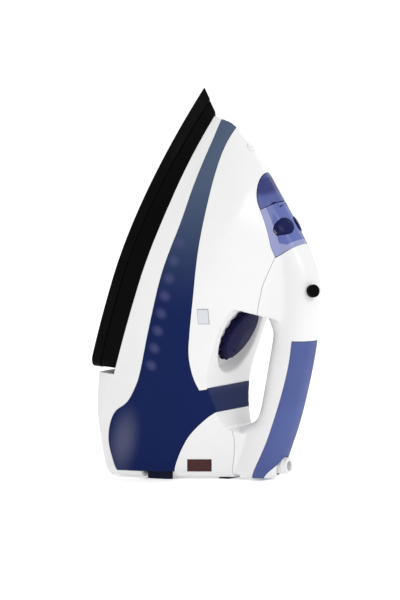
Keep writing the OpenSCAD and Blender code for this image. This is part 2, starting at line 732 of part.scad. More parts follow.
pump_top = -14.5;
pump_length = 17;
pump_d = 9;
pump_tube = 42;
module plunger(s) pump_at(s, 0) {
    translate([0, 0, pump_top - 11]) cylinder(d = plunger_d, h = -9 - pump_top + 11);
}
module steam_plunger() color("#d8d8d2") on_heel() plunger(-1);
module spray_plunger() color("#d8d8d2") on_heel() plunger(1);

module pump(s) pump_at(s, pump_top - pump_length) difference() {
    union() {
        cylinder(d = pump_d, h = pump_length);
        translate([0, 0, -pump_tube]) cylinder(d = 4, h = pump_tube + 1);
    }
    translate([0, 0, 2]) cylinder(d = plunger_d + 2 * running, h = pump_length);
    translate([0, 0, -pump_tube - 1]) cylinder(d = 1.6, h = pump_tube + 5);
}
module steam_pump() color("#c9ccd2") on_heel() pump(-1);
module spray_pump() color("#c9ccd2") on_heel() pump(1);

// A coil spring round a plunger, between its pump and its button
coil_r = (plunger_d + 2.2) / 2;
wire_r = 0.35;
function coil_point(i, k, length) = let (turn = 360 * i / 12, lift = length * i / (12 * spring_turns),
    a = 60 * k) [(coil_r + wire_r * cos(a)) * cos(turn), (coil_r + wire_r * cos(a)) * sin(turn),
    lift + wire_r * sin(a)];
module coil(length) stack([for (i = [0 : 12 * spring_turns])
    [for (k = [5 : -1 : 0]) coil_point(i, k, length)]]);
spring_space = -9 - pump_top;
module steam_spring() color("#b8bbc0") on_heel() pump_at(-1, pump_top + wire_r + 0.05)
    coil(spring_space - 2 * wire_r - 0.1);
module spray_spring() color("#b8bbc0") on_heel() pump_at(1, pump_top + wire_r + 0.05)
    coil(spring_space - 2 * wire_r - 0.1);

// Spray nozzle in the nose, and the hose that feeds it
nozzle_height = 51;
nozzle_d = 7;
nozzle_tilt = 62;
module nozzle_axis() translate([nose_d(nozzle_height), 0, nozzle_height]) rotate([0, -nozzle_tilt, 0])
    children();
module spray_nozzle() color("#e4e5ea") on_heel() nozzle_axis() difference() {
    union() {
        translate([0, 0, -7]) cylinder(d = nozzle_d, h = 7);
        cylinder(d1 = nozzle_d, d2 = nozzle_d - 2, h = 0.5);
        translate([0, 0, -12]) cylinder(d = 4, h = 6);
    }
    translate([0, 0, -13]) cylinder(d = 1.2, h = 20);
    translate([0, 0, -0.4]) cylinder(d1 = 1.2, d2 = 4, h = 1);
}
module spray_hose() color("#e0e0da") on_heel() nozzle_axis() translate([0, 0, -27]) difference() {
    cylinder(d = 6, h = 18);
    translate([0, 0, -1]) cylinder(d = 4 + 2 * running, h = 22);
}

// --- steam lever --------------------------------------------------------------------------------

// The lever's axis lies under the crown and runs along it
module at_lever() translate([pivot_at, 0, pivot_height]) rotate([0, 90 - lever_tilt, 0]) children();
// Turned so that Z runs along the axis and -X points out of the crown
module lever_turned(a) at_lever() rotate([0, 0, a]) children();
cam_r = 6;
cam_throw = 2.4;
module steam_lever() color("#101014") on_heel() lever_turned(lever_swing) {
    translate([-lever_out, 0, 0]) rotate([0, 90, 0]) cylinder(d = knob_d, h = 3);
    translate([-lever_out + 1, -1.5, -1.5]) cube([lever_out - cam_r + 1, 3, 3]);
    difference() {
        translate([0, -cam_throw, 0]) cylinder(r = cam_r, h = 5, center = true);
        cylinder(d = axle_d + 2 * running, h = 20, center = true);
    }
}
axle_d = 3;
module lever_axle() color("#c4c6ca") on_heel() at_lever() cylinder(d = axle_d, h = 16, center = true);
module lever_bracket() color("#e0e0da") on_heel() at_lever() for (s = [-1, 1])
    translate([0, 0, s * 6.5]) difference() {
        translate([-4, -11.2, -1.2]) cube([8, 22.4, 2.4]);
        cylinder(d = axle_d, h = 10, center = true);
    }
module lever_slot() at_lever() rotate([0, 0, -lever_swing]) for (i = [0 : 8])
    rotate([0, 0, i * lever_swing / 4]) translate([-lever_depth - 10, -1.5 - free, -1.5 - free])
        cube([lever_depth + 4, 3 + 2 * free, 3 + 2 * free]);

seat_d = 9;
// The rod's round head stands under the cam, a small gap below it
head_gap = 0.3;
head_reach = cam_throw * sin(lever_swing)
    + sqrt(pow(cam_r + rod_d / 2 + head_gap, 2) - pow(cam_throw * cos(lever_swing), 2));
rod_at = pivot_at + head_reach * sin(lever_tilt);
rod_top = pivot_height - head_reach * cos(lever_tilt);
module valve_rod() color("#d8d8d2") on_heel() translate([rod_at, 0, 0]) {
    translate([0, 0, band_top - 1]) cylinder(d = rod_d, h = rod_top - band_top + 1);
    translate([0, 0, rod_top]) sphere(d = rod_d);
    translate([0, 0, band_top - 3]) cylinder(d1 = 1.2, d2 = rod_d, h = 2);
}
module valve_seat() color("#9a9da3") on_heel() translate([rod_at, 0, chamber_top - 1])
    difference() {
        cylinder(d = seat_d, h = tank_floor + wall + 2 - chamber_top + 1);
        translate([0, 0, 1]) cylinder(d = rod_d + 2 * running, h = 60);
        translate([0, 0, -1]) cylinder(d = 1, h = 4);
    }

// --- dial ---------------------------------------------------------------------------------------

tooth_r = 2;
module dial() color("#15183a") on_heel() at_dial(0) difference() {
    union() {
        cylinder(d = dial_d - 2 * tooth_r, h = dial_t);
        for (i = [0 : dial_teeth - 1]) rotate([0, 0, 360 * i / dial_teeth])
            translate([dial_d / 2 - tooth_r, 0, 0]) cylinder(r = tooth_r, h = dial_t - 0.8, $fn = 24);
    }
    translate([0, 0, dial_t - 1.5]) cylinder(d = dial_d - 9, h = 3);
    translate([0, 0, -1]) cylinder(d = spindle_d, h = dial_t - 1.5);
}

module dial_cap() color("#20286e") on_heel() at_dial(dial_t - 1.5) difference() {
    cylinder(d = dial_d - 9, h = 2.1);
    translate([dial_d / 2 - 9.5, 0, 1.6]) cylinder(d = 3, h = 2);
}

module dial_ring() color("#fbfbfd") on_heel() at_dial(-ring_t - ring_gap) difference() {
    cylinder(d = ring_d, h = ring_t);
    translate([0, 0, -1]) cylinder(d = spindle_d + 2 * free, h = 10);
}

// --- small windows ------------------------------------------------------------------------------

pilot_at = [150.5, 74.5];
pilot_size = [7, 11];
badge_over = 7.8;
badge_at = [heel_d(deck_height + 11, badge_over), deck_height + 11];
badge_size = [badge_length, badge_height];

// An upright rectangle in the standing iron, on the near side
module side_window(at, size) translate([at[0], -45, at[1]]) rotate([0, -90 - lean, 0])
    cube([size[0], 60, size[1]], center = true);

module window_skin(at, size, proud) intersection() {
    difference() {
        form(-proud);
        form(wall);
    }
    side_window(at, size);
}
module pilot_lens() color("#e9eef4", 0.8) on_heel() window_skin(pilot_at, pilot_size - [seam, seam], 0.5);
module badge_lens() color("#7a1f22") on_heel() window_skin(badge_at, badge_size - [seam, seam], 0.4);

// --- heel ---------------------------------------------------------------------------------------

plate_low = foot_height + 0.5;
plate_edge = wall + seam + 3;
function plate_half(h) = full_half(heel_d(h, plate_low), h) - plate_edge;
plate_from = 37;
plate_to = 112;
heel_screw_at = [[58, 24], [102, 10]];
plate_levels = [for (i = [0 : 8]) plate_from + (plate_to - plate_from) * i / 8];
module heel_plate() color("#e9e9ed") translate([0, 0, plate_low]) difference() {
    linear_extrude(plate_t) polygon(concat(
        [for (h = plate_levels) [heel_x(h, plate_low), plate_half(h)]],
        [for (h = reversed(plate_levels)) [heel_x(h, plate_low), -plate_half(h)]]));
    for (p = heel_screw_at) for (s = [-1, 1]) translate([heel_x(p[0], plate_low), s * p[1], -1])
        cylinder(d = screw_d + 2 * running, h = 20);
}

foot_y = 28;
module foot_place(s) translate([heel_x(foot_at), s * foot_y, 0]) children();
module foot(s) foot_place(s) {
    translate([-foot_length / 2 + foot_width / 2, -foot_width / 2, 0])
        cube([foot_length - foot_width, foot_width, foot_height + 0.5]);
    for (e = [-1, 1]) translate([e * (foot_length - foot_width) / 2, 0, 0])
        cylinder(d = foot_width, h = foot_height + 0.5);
}
// Room for the feet and the pad in the mouldings above them
module foot_room() {
    for (s = [-1, 1]) foot_place(s) translate([-foot_length / 2 - seam, -foot_width / 2 - seam, -1])
        cube([foot_length + 2 * seam, foot_width + 2 * seam, plate_low + 1 + seam]);
    translate([heel_x(pad_at) - pad_length / 2 - seam, -pad_half - seam, -1])
        cube([pad_length + 2 * seam, 2 * pad_half + 2 * seam, plate_low + 1 + seam]);
}
module foot_left() color("#1b1d2a") foot(-1);
module foot_right() color("#1b1d2a") foot(1);

pad_at = 112;
pad_length = 8;
pad_half = 9;
module rear_pad() color("#1b1d2a") translate([heel_x(pad_at) - pad_length / 2, -pad_half, 0])
    cube([pad_length, 2 * pad_half, plate_low]);

module heel_screws() color("#c4c6ca") for (p = heel_screw_at) for (s = [-1, 1])
    translate([heel_x(p[0], plate_low), s * p[1], plate_low]) {
        translate([0, 0, -2]) difference() {
            cylinder(d = 2 * screw_d, h = 2);
            for (a = [0, 90]) rotate([0, 0, a]) translate([-1.8, -0.35, -1]) cube([3.6, 0.7, 1.8]);
        }
        cylinder(d = screw_d, h = 10);
    }

module sole_screws() color("#c4c6ca") on_heel() for (p = posts) translate([p[0], p[1], 0]) {
    translate([0, 0, band_top - 9]) cylinder(d = screw_d - 0.02, h = 9);
    translate([0, 0, band_top]) cylinder(d = screw_d - 0.02, h = shelf_top - band_top);
    translate([0, 0, shelf_top]) cylinder(d = 2 * screw_d, h = 2);
}

// --- cord inlet ---------------------------------------------------------------------------------

neck_d = 12;
inlet_x = heel_x(146, cord_height);
module at_inlet(along) translate([inlet_x + along, 0, cord_height]) rotate([0, 90, 0]) children();
module cord_gland() color("#e2e3e8") at_inlet(-16) difference() {
    union() {
        cylinder(d = neck_d, h = 26);
        translate([0, 0, 2]) cylinder(d = neck_d + 4, h = 3);
        translate([0, 0, 22]) cylinder(d1 = neck_d + 1.5, d2 = neck_d, h = 4);
    }
    translate([0, 0, -1]) cylinder(d = cord_bore_d, h = 40);
}
module gland_socket() color("#c9ccd2") at_inlet(-16) difference() {
    translate([-8, -9, -3]) cube([16, 18, 9.5]);
    translate([0, 0, -4]) cylinder(d = neck_d + 2 * running, h = 20);
    translate([0, 0, 2 - running]) cylinder(d = neck_d + 4 + 2 * running, h = 3 + 2 * running);
}

soleplate();
chamber_cover();
heating_element();
element_pins();
heat_shield();
thermostat();
thermostat_spindle();
thermal_fuse();
terminal_block();
lower_shell();
water_tank();
tank_lid();
tank_seal();
front_cover();
handle_shell();
rear_cover();
grip();
end_cap();
control_panel();
filler_flap();
flap_plug();
filler_neck();
filler_pin();
steam_button();
steam_plunger();
steam_pump();
steam_spring();
spray_button();
spray_plunger();
spray_pump();
spray_spring();
spray_hose();
spray_nozzle();
steam_lever();
lever_axle();
lever_bracket();
valve_rod();
valve_seat();
dial();
dial_cap();
dial_ring();
pilot_lens();
badge_lens();
heel_plate();
foot_left();
foot_right();
rear_pad();
heel_screws();
sole_screws();
cord_gland();
gland_socket();
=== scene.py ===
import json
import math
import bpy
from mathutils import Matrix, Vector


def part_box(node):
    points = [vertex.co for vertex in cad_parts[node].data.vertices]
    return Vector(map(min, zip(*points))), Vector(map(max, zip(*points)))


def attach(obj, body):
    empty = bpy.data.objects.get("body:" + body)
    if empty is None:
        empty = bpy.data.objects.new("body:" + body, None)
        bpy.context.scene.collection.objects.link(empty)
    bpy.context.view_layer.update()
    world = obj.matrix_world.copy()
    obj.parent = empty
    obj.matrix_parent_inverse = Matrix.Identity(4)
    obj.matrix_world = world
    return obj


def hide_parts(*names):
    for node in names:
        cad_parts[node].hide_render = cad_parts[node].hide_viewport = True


bl_info = {
    "name": "Steam Iron",
    "version": (1, 0, 0),
    "blender": (4, 5, 0),
    "location": "3D View > Sidebar > Iron",
    "description": "Dresses a household steam iron that stands on its heel",
    "category": "Add Mesh",
}

import bmesh
import bpy
from mathutils import Matrix, Vector

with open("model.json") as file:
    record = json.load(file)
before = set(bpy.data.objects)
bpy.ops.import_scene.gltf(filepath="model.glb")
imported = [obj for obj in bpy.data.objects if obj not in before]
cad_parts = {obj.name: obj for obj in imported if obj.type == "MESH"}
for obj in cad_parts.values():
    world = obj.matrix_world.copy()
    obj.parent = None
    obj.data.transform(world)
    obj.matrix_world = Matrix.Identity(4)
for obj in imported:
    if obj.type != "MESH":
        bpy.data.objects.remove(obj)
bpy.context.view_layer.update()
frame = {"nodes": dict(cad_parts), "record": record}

MM = 0.001

# --- sizes of the form, in millimetres, as in the CAD source ------------------------------------
# D runs along the sole from its tip, Y is across and H is the height over the sole's face.

LEAN = math.radians(18.5)
TIP_HEIGHT = 290
FOOT_HEIGHT = 6
RIM_GAP = 1.2
SOLE_LENGTH = 218
SOLE_WIDTH = 116
SOLE_EDGE = 7.5
SOLE_SOFT = 0.8
SOLE_DECK = 12
WIDEST_AT = 145
BAND_TOP = 21
BAND_WALL = 2.6
SHIELD_DECK = 1.6
SHELL_HALF = 57
NECK_HALF = 15
NECK_HEIGHT = 128
WALL = 2.4
SEAM = 0.34
HEEL_CORNER = 10
NOSE_START = 17
NOSE_FOOT = 30
FOOT_RAKE = 0.36
NOSE_RAKE = 0.87
NOSE_BEND = 20
HANDLE_TOP = 151.5
HANDLE_PEAK = 220
HANDLE_ARCH = 455
HANDLE_UNDER = 122.5
HANDLE_HALF = 15
GAP_FRONT = 140
GAP_REAR = 229
GAP_ROUND = 33.5
DECK_HEIGHT = 86.5
CROWN_BLEND = 8
TAIL_TURN = 248
TAIL_DROP = 12
PALM_FROM = 207
PALM_SWELL = 0.14
SCOOP_FRONT = 62
SCOOP_REAR = 43
SOLE_TAPER = 220
SOLE_POINT = 1.85
SHELL_TAPER = 260
TUCK = 7
PROW_RAKE = 0.95
STERN_RAKE = 0.25
SOLE_CORNER = 8
SQUARENESS = 2.6
BAR_SINK = 2
SHELL_LOW = 4
SHELL_HIGH = 120
DIAL_AT = 163
DIAL_D = 46.5
DIAL_T = 4
DIAL_TEETH = 18
TOOTH_R = 2
TOOTH_STEPS = 16
CAP_D = DIAL_D - 9
SPINDLE_D = 6
DIAL_SLOPE = math.radians(10.5)
DIAL_SEAT = DECK_HEIGHT - 3.2
RING_D = 60
RING_T = 2
RING_GAP = 0.3
PANEL_HEIGHT = 92.3
PANEL_LENGTH = 60
PANEL_WIDTH = 38.4
TIP_RUN = 22.5
FLAP_SPLIT = -6
BORDER = 4
BUTTON_D = 12.6
BUTTON_PITCH = 19.2
BUTTON_S = 13
LEVER_AT = 110
LEVER_TILT = math.radians(30)
LEVER_DEPTH = 15
LEVER_SWING = 32
LEVER_SLOT = 3.5
KNUCKLE_D = 4.2
KNUCKLE_HALF = 6
HINGE_N = -3
FLAP_SCOOP = 5.3
NECK_D = 12
FOOT_AT = 71
FOOT_Y = 28
FOOT_LENGTH = 20
FOOT_WIDTH = 7
PAD_AT = 112
PAD_LENGTH = 8
PAD_HALF = 9
PLATE_LOW = FOOT_HEIGHT + 0.5
INLET_DEPTH = 16
SOCKET_ROOM = ((0, 0, -12.55), (10.3, 19.1, 10.4))
HOLE_COUNT = 8
HOLE_D = 3.6
HOLE_RIM_D = 5.2
HOLES_FROM = 44
HOLES_RUN = 118
HOLES_IN = 10
RIM_END = FOOT_AT - FOOT_LENGTH / 2 - 2
PILOT_AT = (150.5, 74.5)
PILOT_SIZE = (7, 11)
BADGE_AT = ((TIP_HEIGHT - 10.8 - 97.5 * math.sin(LEAN)) / math.cos(LEAN), 97.5)
BADGE_SIZE = (17.8, 9.2)
BADGE_TURN = math.radians(27)
NOZZLE_HEIGHT = 51
NOZZLE_TILT = math.radians(62)
NOZZLE_D = 7

TIP_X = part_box("soleplate")[0].x / MM + (SOLE_LENGTH - SOLE_SOFT) * math.sin(LEAN)

# --- lines of the form --------------------------------------------------------------------------


def heel_d(h, z=0.0):
    """Distance from the tip to the level z over the table, at height h over the sole."""
    return (TIP_HEIGHT - z - h * math.sin(LEAN)) / math.cos(LEAN)


def nose_d(h):
    """Distance of the nose line from the tip, at height h over the sole."""
    rise = max(0.0, h - NOSE_FOOT)
    bend = (NOSE_RAKE - FOOT_RAKE) * NOSE_BEND * (1 - math.exp(-rise / NOSE_BEND))
    return NOSE_START + NOSE_RAKE * rise - bend


def slope_of_nose(h):
    return NOSE_RAKE - (NOSE_RAKE - FOOT_RAKE) * math.exp(-max(0.0, h - NOSE_FOOT) / NOSE_BEND)


def nose_h(d):
    """Height at which the nose line stands at distance d."""
    low, high = 0.0, 500.0
    for _ in range(30):
        mid = (low + high) / 2
        if nose_d(mid) > d:
            high = mid
        else:
            low = mid
    return (low + high) / 2


def arch_h(d):
    return HANDLE_TOP - (d - HANDLE_PEAK) ** 2 / (2 * HANDLE_ARCH)


def top_h(d):
    """The crown line: the nose line runs softly into the handle's arch, then into the heel."""
    joined = math.exp(-nose_h(d) / CROWN_BLEND) + math.exp(-arch_h(d) / CROWN_BLEND)
    return -CROWN_BLEND * math.log(joined) - max(0.0, d - TAIL_TURN) ** 2 / TAIL_DROP


def under_h(d):
    """The handle's underside."""
    low = HANDLE_UNDER - PALM_SWELL * max(0.0, PALM_FROM - d)
    low -= 10 * (max(0.0, GAP_FRONT + 15 - d) / 15) ** 2
    low -= 10 * (max(0.0, d - GAP_REAR + 15) / 12) ** 2
    return max(top_h(d) - 40, low)


def deck_h(d):
    """The deck under the finger gap."""
    front = max(0.0, DIAL_AT - d) ** 2 / (2 * SCOOP_FRONT)
    return DECK_HEIGHT + front + max(0.0, d - DIAL_AT - 24) ** 2 / (2 * SCOOP_REAR)


def sole_half(d):
    if d < WIDEST_AT:
        return SOLE_WIDTH / 2 * (1 - (1 - d / WIDEST_AT) ** SOLE_POINT)
    return SOLE_WIDTH / 2 * (1 - ((d - WIDEST_AT) / SOLE_TAPER) ** 2)


def full_half(d, h):
    plan = SHELL_HALF if d < WIDEST_AT else SHELL_HALF * (1 - ((d - WIDEST_AT) / SHELL_TAPER) ** 2)
    rise = min(1.0, max(0.0, (h - BAND_TOP) / (NECK_HEIGHT - BAND_TOP)))
    shoulder = math.cos(math.pi / 2 * rise**1.6) ** 2
    return NECK_HALF + (plan - NECK_HALF) * shoulder - TUCK * (max(0.0, BAND_TOP - h) / 16) ** 2


def stations(front, rear, corner, fine=3):
    """Distances from the front to the rear of an outline, close together at its ends."""
    nose, flank, turn = 13 * fine, 6 * fine, 4 * fine
    quarter = math.pi / 2
    ahead = WIDEST_AT - front
    made = [front + ahead * (1 - math.cos(quarter * i / nose)) for i in range(nose + 1)]
    made += [WIDEST_AT + (rear - corner - WIDEST_AT) * i / flank for i in range(1, flank + 1)]
    made += [rear - corner + corner * math.sin(quarter * i / turn) for i in range(1, turn + 1)]
    return made


def rounded(d, rear, corner):
    over = max(0.0, d - (rear - corner))
    return corner - math.sqrt(max(0.0, corner * corner - over * over))


def both_sides(distances, halves, h):
    outline = [(distances[0], 0.0, h)]
    outline += [(d, -y, h) for d, y in zip(distances[1:], halves[1:])]
    outline += [(d, y, h) for d, y in reversed(list(zip(distances[1:], halves[1:])))]
    return outline


def shell_ring(h, t):
    """One level outline of the shell, inset by t."""
    front = nose_d(h) + 1.5 * t
    rear = heel_d(h, RIM_GAP) - t
    corner = HEEL_CORNER - t
    blunt = 1 - 0.4 * min(1.0, max(0.0, (h - 25) / 45))
    distances = stations(front, rear, corner)
    halves = []
    for d in distances:
        u = min(1.0, max(0.0, (d - front) / (WIDEST_AT - front)))
        nose = (1 - (1 - u) ** 2) ** blunt
        halves.append((full_half(d, h) - t) * nose - rounded(d, rear, corner))
    return both_sides(distances, halves, h)


def sole_ring(h, t):
    """One level outline of the sole, inset by t, with its prow raked back."""
    front = PROW_RAKE * h + 1.6 * t
    rear = SOLE_LENGTH - STERN_RAKE * h - t
    distances = stations(front, rear, SOLE_CORNER)
    halves = []
    for d in distances:
        if d < WIDEST_AT:
            share = (WIDEST_AT - d) / (WIDEST_AT - front)
            half = (SOLE_WIDTH / 2 - t) * (1 - share**SOLE_POINT)
        else:
            half = sole_half(d) - t
        halves.append(half - rounded(d, rear, SOLE_CORNER))
    return both_sides(distances, halves, h)


def bar_ring(d, t, count=56):
    """One cross-section of the handle, inset by t."""
    top = top_h(d) - BAR_SINK * (max(0.0, 100 - d) / 50) ** 2 - t
    low = under_h(d) + t
    half = HANDLE_HALF - t
    ring = []
    for i in range(count):
        a = 2 * math.pi * (i + 0.5) / count
        c, s = math.cos(a), math.sin(a)
        across = half * math.copysign(abs(c) ** (2 / SQUARENESS), c)
        up = (top + low) / 2 + (top - low) / 2 * math.copysign(abs(s) ** (2 / SQUARENESS), s)
        ring.append((d, across, up))
    return ring


def smooth_line(points, steps=6):
    """A smooth line through a few points."""
    last = len(points) - 1
    line = []
    for i in range(last):
        a, b, c, d = (Vector(points[min(max(k, 0), last)]) for k in (i - 1, i, i + 1, i + 2))
        for k in range(steps):
            t = k / steps
            square, cube = 2 * a - 5 * b + 4 * c - d, 3 * b - a - 3 * c + d
            line.append(0.5 * (2 * b + (c - a) * t + square * t**2 + cube * t**3))
    return line + [Vector(points[last])]


def shifted(points, by):
    return [Vector(p) + Vector(by) for p in points]


S, B = SOLE_LENGTH, BAND_TOP
FAR = 40
HALF_SPAN = 90
HEEL_END = heel_d(139)
STRIP_LINE = smooth_line([(0, B - 2), (NOSE_START + 1, B + 0.6), (35, B + 4.6), (64, B + 10),
    (93, B + 14.4), (130, B + 15.5), (175, B + 18.5), (S - 11, B + 20.6), (S + 4, B + 19.2),
    (S + 15, B + 15.8), (S + 24, B + 9), (S + 33, B + 6.7), (S + 44, B + 7.2), (S + 54, B + 10.5),
    (S + 66, B + 17.5), (S + 82, B + 27)])
BAND_LINE = [Vector(p) for p in [(-5, B - 8.1), (14, B - 6.6), (58, B - 3), (80, B - 1.2),
    (100, B - 0.3), (125, B)]]
TANK_LINE = smooth_line([(0, B + 13), (NOSE_START + 7, B + 14), (36, B + 15.8), (49, B + 19.3),
    (77, B + 27.7), (105, B + 35), (135, B + 42.3), (DIAL_AT + 2, B + 47.7),
    (DIAL_AT + 17, B + 50.7), (DIAL_AT + 28, B + 54.7), (DIAL_AT + 37, B + 59.5),
    (DIAL_AT + 43, B + 64)])
BRANCH_TIP = Vector((DIAL_AT + 41, B + 68))
BRANCH_FRONT = Vector((DIAL_AT + 33, DECK_HEIGHT + 4))
BRANCH_LINE = smooth_line([(DIAL_AT + 45, DECK_HEIGHT + 26), (DIAL_AT + 51, DECK_HEIGHT + 16),
    (DIAL_AT + 57, DECK_HEIGHT + 11), (226, 93.5), (237, 88), (248, 84.5), (265, 82.2),
    (HEEL_END + 31, 82)])
RIM_LINE = [(S + 28, 13.5), (S + 64, 29), (S + 90, 41.5)]
TAIL_LINE = [(S - 2, B + 0.3), (S + 2, 6.5)] + RIM_LINE
SPLIT_FRONT = [(95.5, 103.4), (118, 103), (GAP_FRONT + 3, 106)]
SPLIT_REAR = smooth_line([(GAP_REAR - 9, 104), (GAP_REAR - 1, 110.5), (GAP_REAR + 9, 115.5),
    (GAP_REAR + 30, 119.5), (HEEL_END + FAR, 122)])
PANEL_END = (60, 131.8)
GRIP_START = [(143, 160), (147, 144), (150.5, 134.5)]
GRIP_LINE = smooth_line([GRIP_START[-1], (165, 137.2), (182, 138.8), (205, 139.4), (230, 138.5),
    (262, 134.5), (HEEL_END + 31, 131)])
CAP_LINE = [(HEEL_END - 28, 162), (HEEL_END - 23, 153), (HEEL_END + 3, 139), (HEEL_END + 21, 129)]

EDGES = {
    "lower_shell": shifted(BAND_LINE, (0, 0.3)) + TAIL_LINE + [(S + 90, B + 40)] + STRIP_LINE[::-1],
    "water_tank": STRIP_LINE + [(heel_d(60) + FAR, 60)] + BRANCH_LINE[::-1]
        + [BRANCH_FRONT, BRANCH_TIP] + TANK_LINE[::-1],
    "front_cover": TANK_LINE + [BRANCH_TIP, BRANCH_FRONT, (DIAL_AT + 34, 100)] + SPLIT_FRONT[::-1]
        + [PANEL_END, (-5, 131.8)],
    "handle_shell": [PANEL_END] + SPLIT_FRONT + [(DIAL_AT, 103), (GAP_REAR - 30, 102)] + SPLIT_REAR
        + [(HEEL_END + FAR, 131)] + GRIP_LINE[::-1] + GRIP_START[::-1] + [(60, 160)],
    "rear_cover": BRANCH_LINE + [(HEEL_END + 50, 110)] + SPLIT_REAR[::-1] + [(GAP_REAR - 14, 106)],
    "grip": GRIP_START + GRIP_LINE + [(HEEL_END + 32, 128)] + CAP_LINE[::-1],
    "end_cap": CAP_LINE + [(HEEL_END + FAR, 129), (HEEL_END + FAR, 170), (HEEL_END - 28, 170)],
}

SHELF = B + 0.3
TANK_FLOOR = B + 23
# Walls and floors inside the mouldings, in the side view
PLATES = {
    "moulded_lower_shell": (
        TAIL_LINE + shifted(TAIL_LINE, (WALL, WALL))[::-1],
        [(38, SHELF), (S + 6, SHELF), (S + 6, SHELF + 2), (38, SHELF + 2)],
    ),
    "moulded_water_tank": (
        [(88, TANK_FLOOR), (238, TANK_FLOOR), (238, TANK_FLOOR + WALL), (88, TANK_FLOOR + WALL)],
        [(236, TANK_FLOOR), (238.4, TANK_FLOOR), (238.4, 80), (236, 80)],
    ),
}

# --- frames of the parts ------------------------------------------------------------------------

TIP = Vector((TIP_X, 0, TIP_HEIGHT)) * MM
STANDING = Matrix.Translation(TIP) @ Matrix.Rotation(math.pi / 2 + LEAN, 4, "Y")


def placed(x, y, z, turn=0.0):
    """A frame on the sole's own frame, turned about the axis across the iron."""
    return STANDING @ Matrix.Translation(Vector((x, y, z)) * MM) @ Matrix.Rotation(turn, 4, "Y")


UPRIGHT = Matrix.Identity(4)


def heel_x(h, z=0.0):
    """Where the level z over the table lies at height h over the sole."""
    return TIP_X - heel_d(h, z) * math.sin(LEAN) + h * math.cos(LEAN)


AT_DIAL = placed(DIAL_AT, 0, DIAL_SEAT, DIAL_SLOPE)
PANEL_TILT = math.atan(1 / slope_of_nose(PANEL_HEIGHT))
ON_SLOPE = placed(nose_d(PANEL_HEIGHT), 0, PANEL_HEIGHT, -PANEL_TILT)
AT_NOZZLE = placed(nose_d(NOZZLE_HEIGHT), 0, NOZZLE_HEIGHT, -NOZZLE_TILT)
AT_LEVER = placed(LEVER_AT + LEVER_DEPTH * math.sin(LEVER_TILT), 0,
    top_h(LEVER_AT) - LEVER_DEPTH * math.cos(LEVER_TILT), math.pi / 2 - LEVER_TILT)

# --- making meshes ------------------------------------------------------------------------------


def new_object(name, bm):
    """An object at the origin that holds the bmesh, which is freed."""
    bmesh.ops.recalc_face_normals(bm, faces=bm.faces)
    mesh = bpy.data.meshes.new(name)
    bm.to_mesh(mesh)
    bm.free()
    obj = bpy.data.objects.new(name, mesh)
    bpy.context.scene.collection.objects.link(obj)
    return obj


def loft(name, rings, place=STANDING):
    """A closed solid through outlines with the same number of points."""
    count, levels = len(rings[0]), len(rings)
    bm = bmesh.new()
    bmesh.ops.create_grid(bm, x_segments=count, y_segments=levels - 1, size=1.0)
    for vert in bm.verts:
        column = round((vert.co.x + 1) / 2 * count) % count
        row = round((vert.co.y + 1) / 2 * (levels - 1))
        vert.co = place @ (Vector(rings[row][column]) * MM)
    bmesh.ops.remove_doubles(bm, verts=bm.verts, dist=1e-7)
    bmesh.ops.holes_fill(bm, edges=[e for e in bm.edges if e.is_boundary], sides=0)
    return new_object(name, bm)


def prism(name, outline, low, high, place):
    """A straight solid over a flat outline, from low to high along the frame's Z."""
    bm = bmesh.new()
    bmesh.ops.create_circle(bm, cap_ends=True, segments=len(outline), radius=1.0)
    bm.verts.ensure_lookup_table()
    for vert, point in zip(list(bm.verts), outline):
        vert.co = Vector((point[0], point[1], low)) * MM
    made = bmesh.ops.extrude_face_region(bm, geom=list(bm.faces))["geom"]
    bmesh.ops.translate(bm, verts=[g for g in made if isinstance(g, bmesh.types.BMVert)],
        vec=Vector((0, 0, high - low)) * MM)
    bmesh.ops.transform(bm, matrix=place, verts=bm.verts)
    return new_object(name, bm)


ACROSS = STANDING @ Matrix.Rotation(math.pi / 2, 4, "X")


def side_prism(name, outline):
    """A side view, drawn in distance and height, made a prism across the iron."""
    return prism(name, outline, -HALF_SPAN, HALF_SPAN, ACROSS)


def inset(outline, by):
    """The outline drawn smaller by the same distance all round."""
    points = [Vector(p[:2]) for p in outline]
    count = len(points)
    area = sum(points[i - 1].x * points[i].y - points[i].x * points[i - 1].y for i in range(count))
    turn = math.copysign(1, area)
    made = []
    for i, point in enumerate(points):
        ahead = (points[(i + 1) % count] - point).normalized()
        behind = (point - points[i - 1]).normalized()
        normals = [Vector((-v.y, v.x)) * turn for v in (behind, ahead)]
        middle = (normals[0] + normals[1]).normalized()
        made.append(point + middle * by / max(0.35, middle.dot(normals[0])))
    return made


def rod(name, diameter, low, high, place, top_diameter=None, segments=64):
    bm = bmesh.new()
    top = diameter if top_diameter is None else top_diameter
    bmesh.ops.create_cone(bm, cap_ends=True, segments=segments, radius1=diameter / 2 * MM,
        radius2=top / 2 * MM, depth=(high - low) * MM,
        matrix=place @ Matrix.Translation(Vector((0, 0, (low + high) / 2)) * MM))
    return new_object(name, bm)


def block(name, middle, size, place):
    bm = bmesh.new()
    bmesh.ops.create_cube(bm, size=1.0)
    bmesh.ops.scale(bm, vec=Vector(size) * MM, verts=bm.verts)
    bmesh.ops.translate(bm, vec=Vector(middle) * MM, verts=bm.verts)
    bmesh.ops.transform(bm, matrix=place, verts=bm.verts)
    return new_object(name, bm)


def take(obj):
    """Applies the object's modifiers to its mesh."""
    bpy.context.view_layer.update()
    depsgraph = bpy.context.evaluated_depsgraph_get()
    mesh = bpy.data.meshes.new_from_object(obj.evaluated_get(depsgraph))
    old = obj.data
    obj.modifiers.clear()
    obj.data = mesh
    bpy.data.meshes.remove(old)


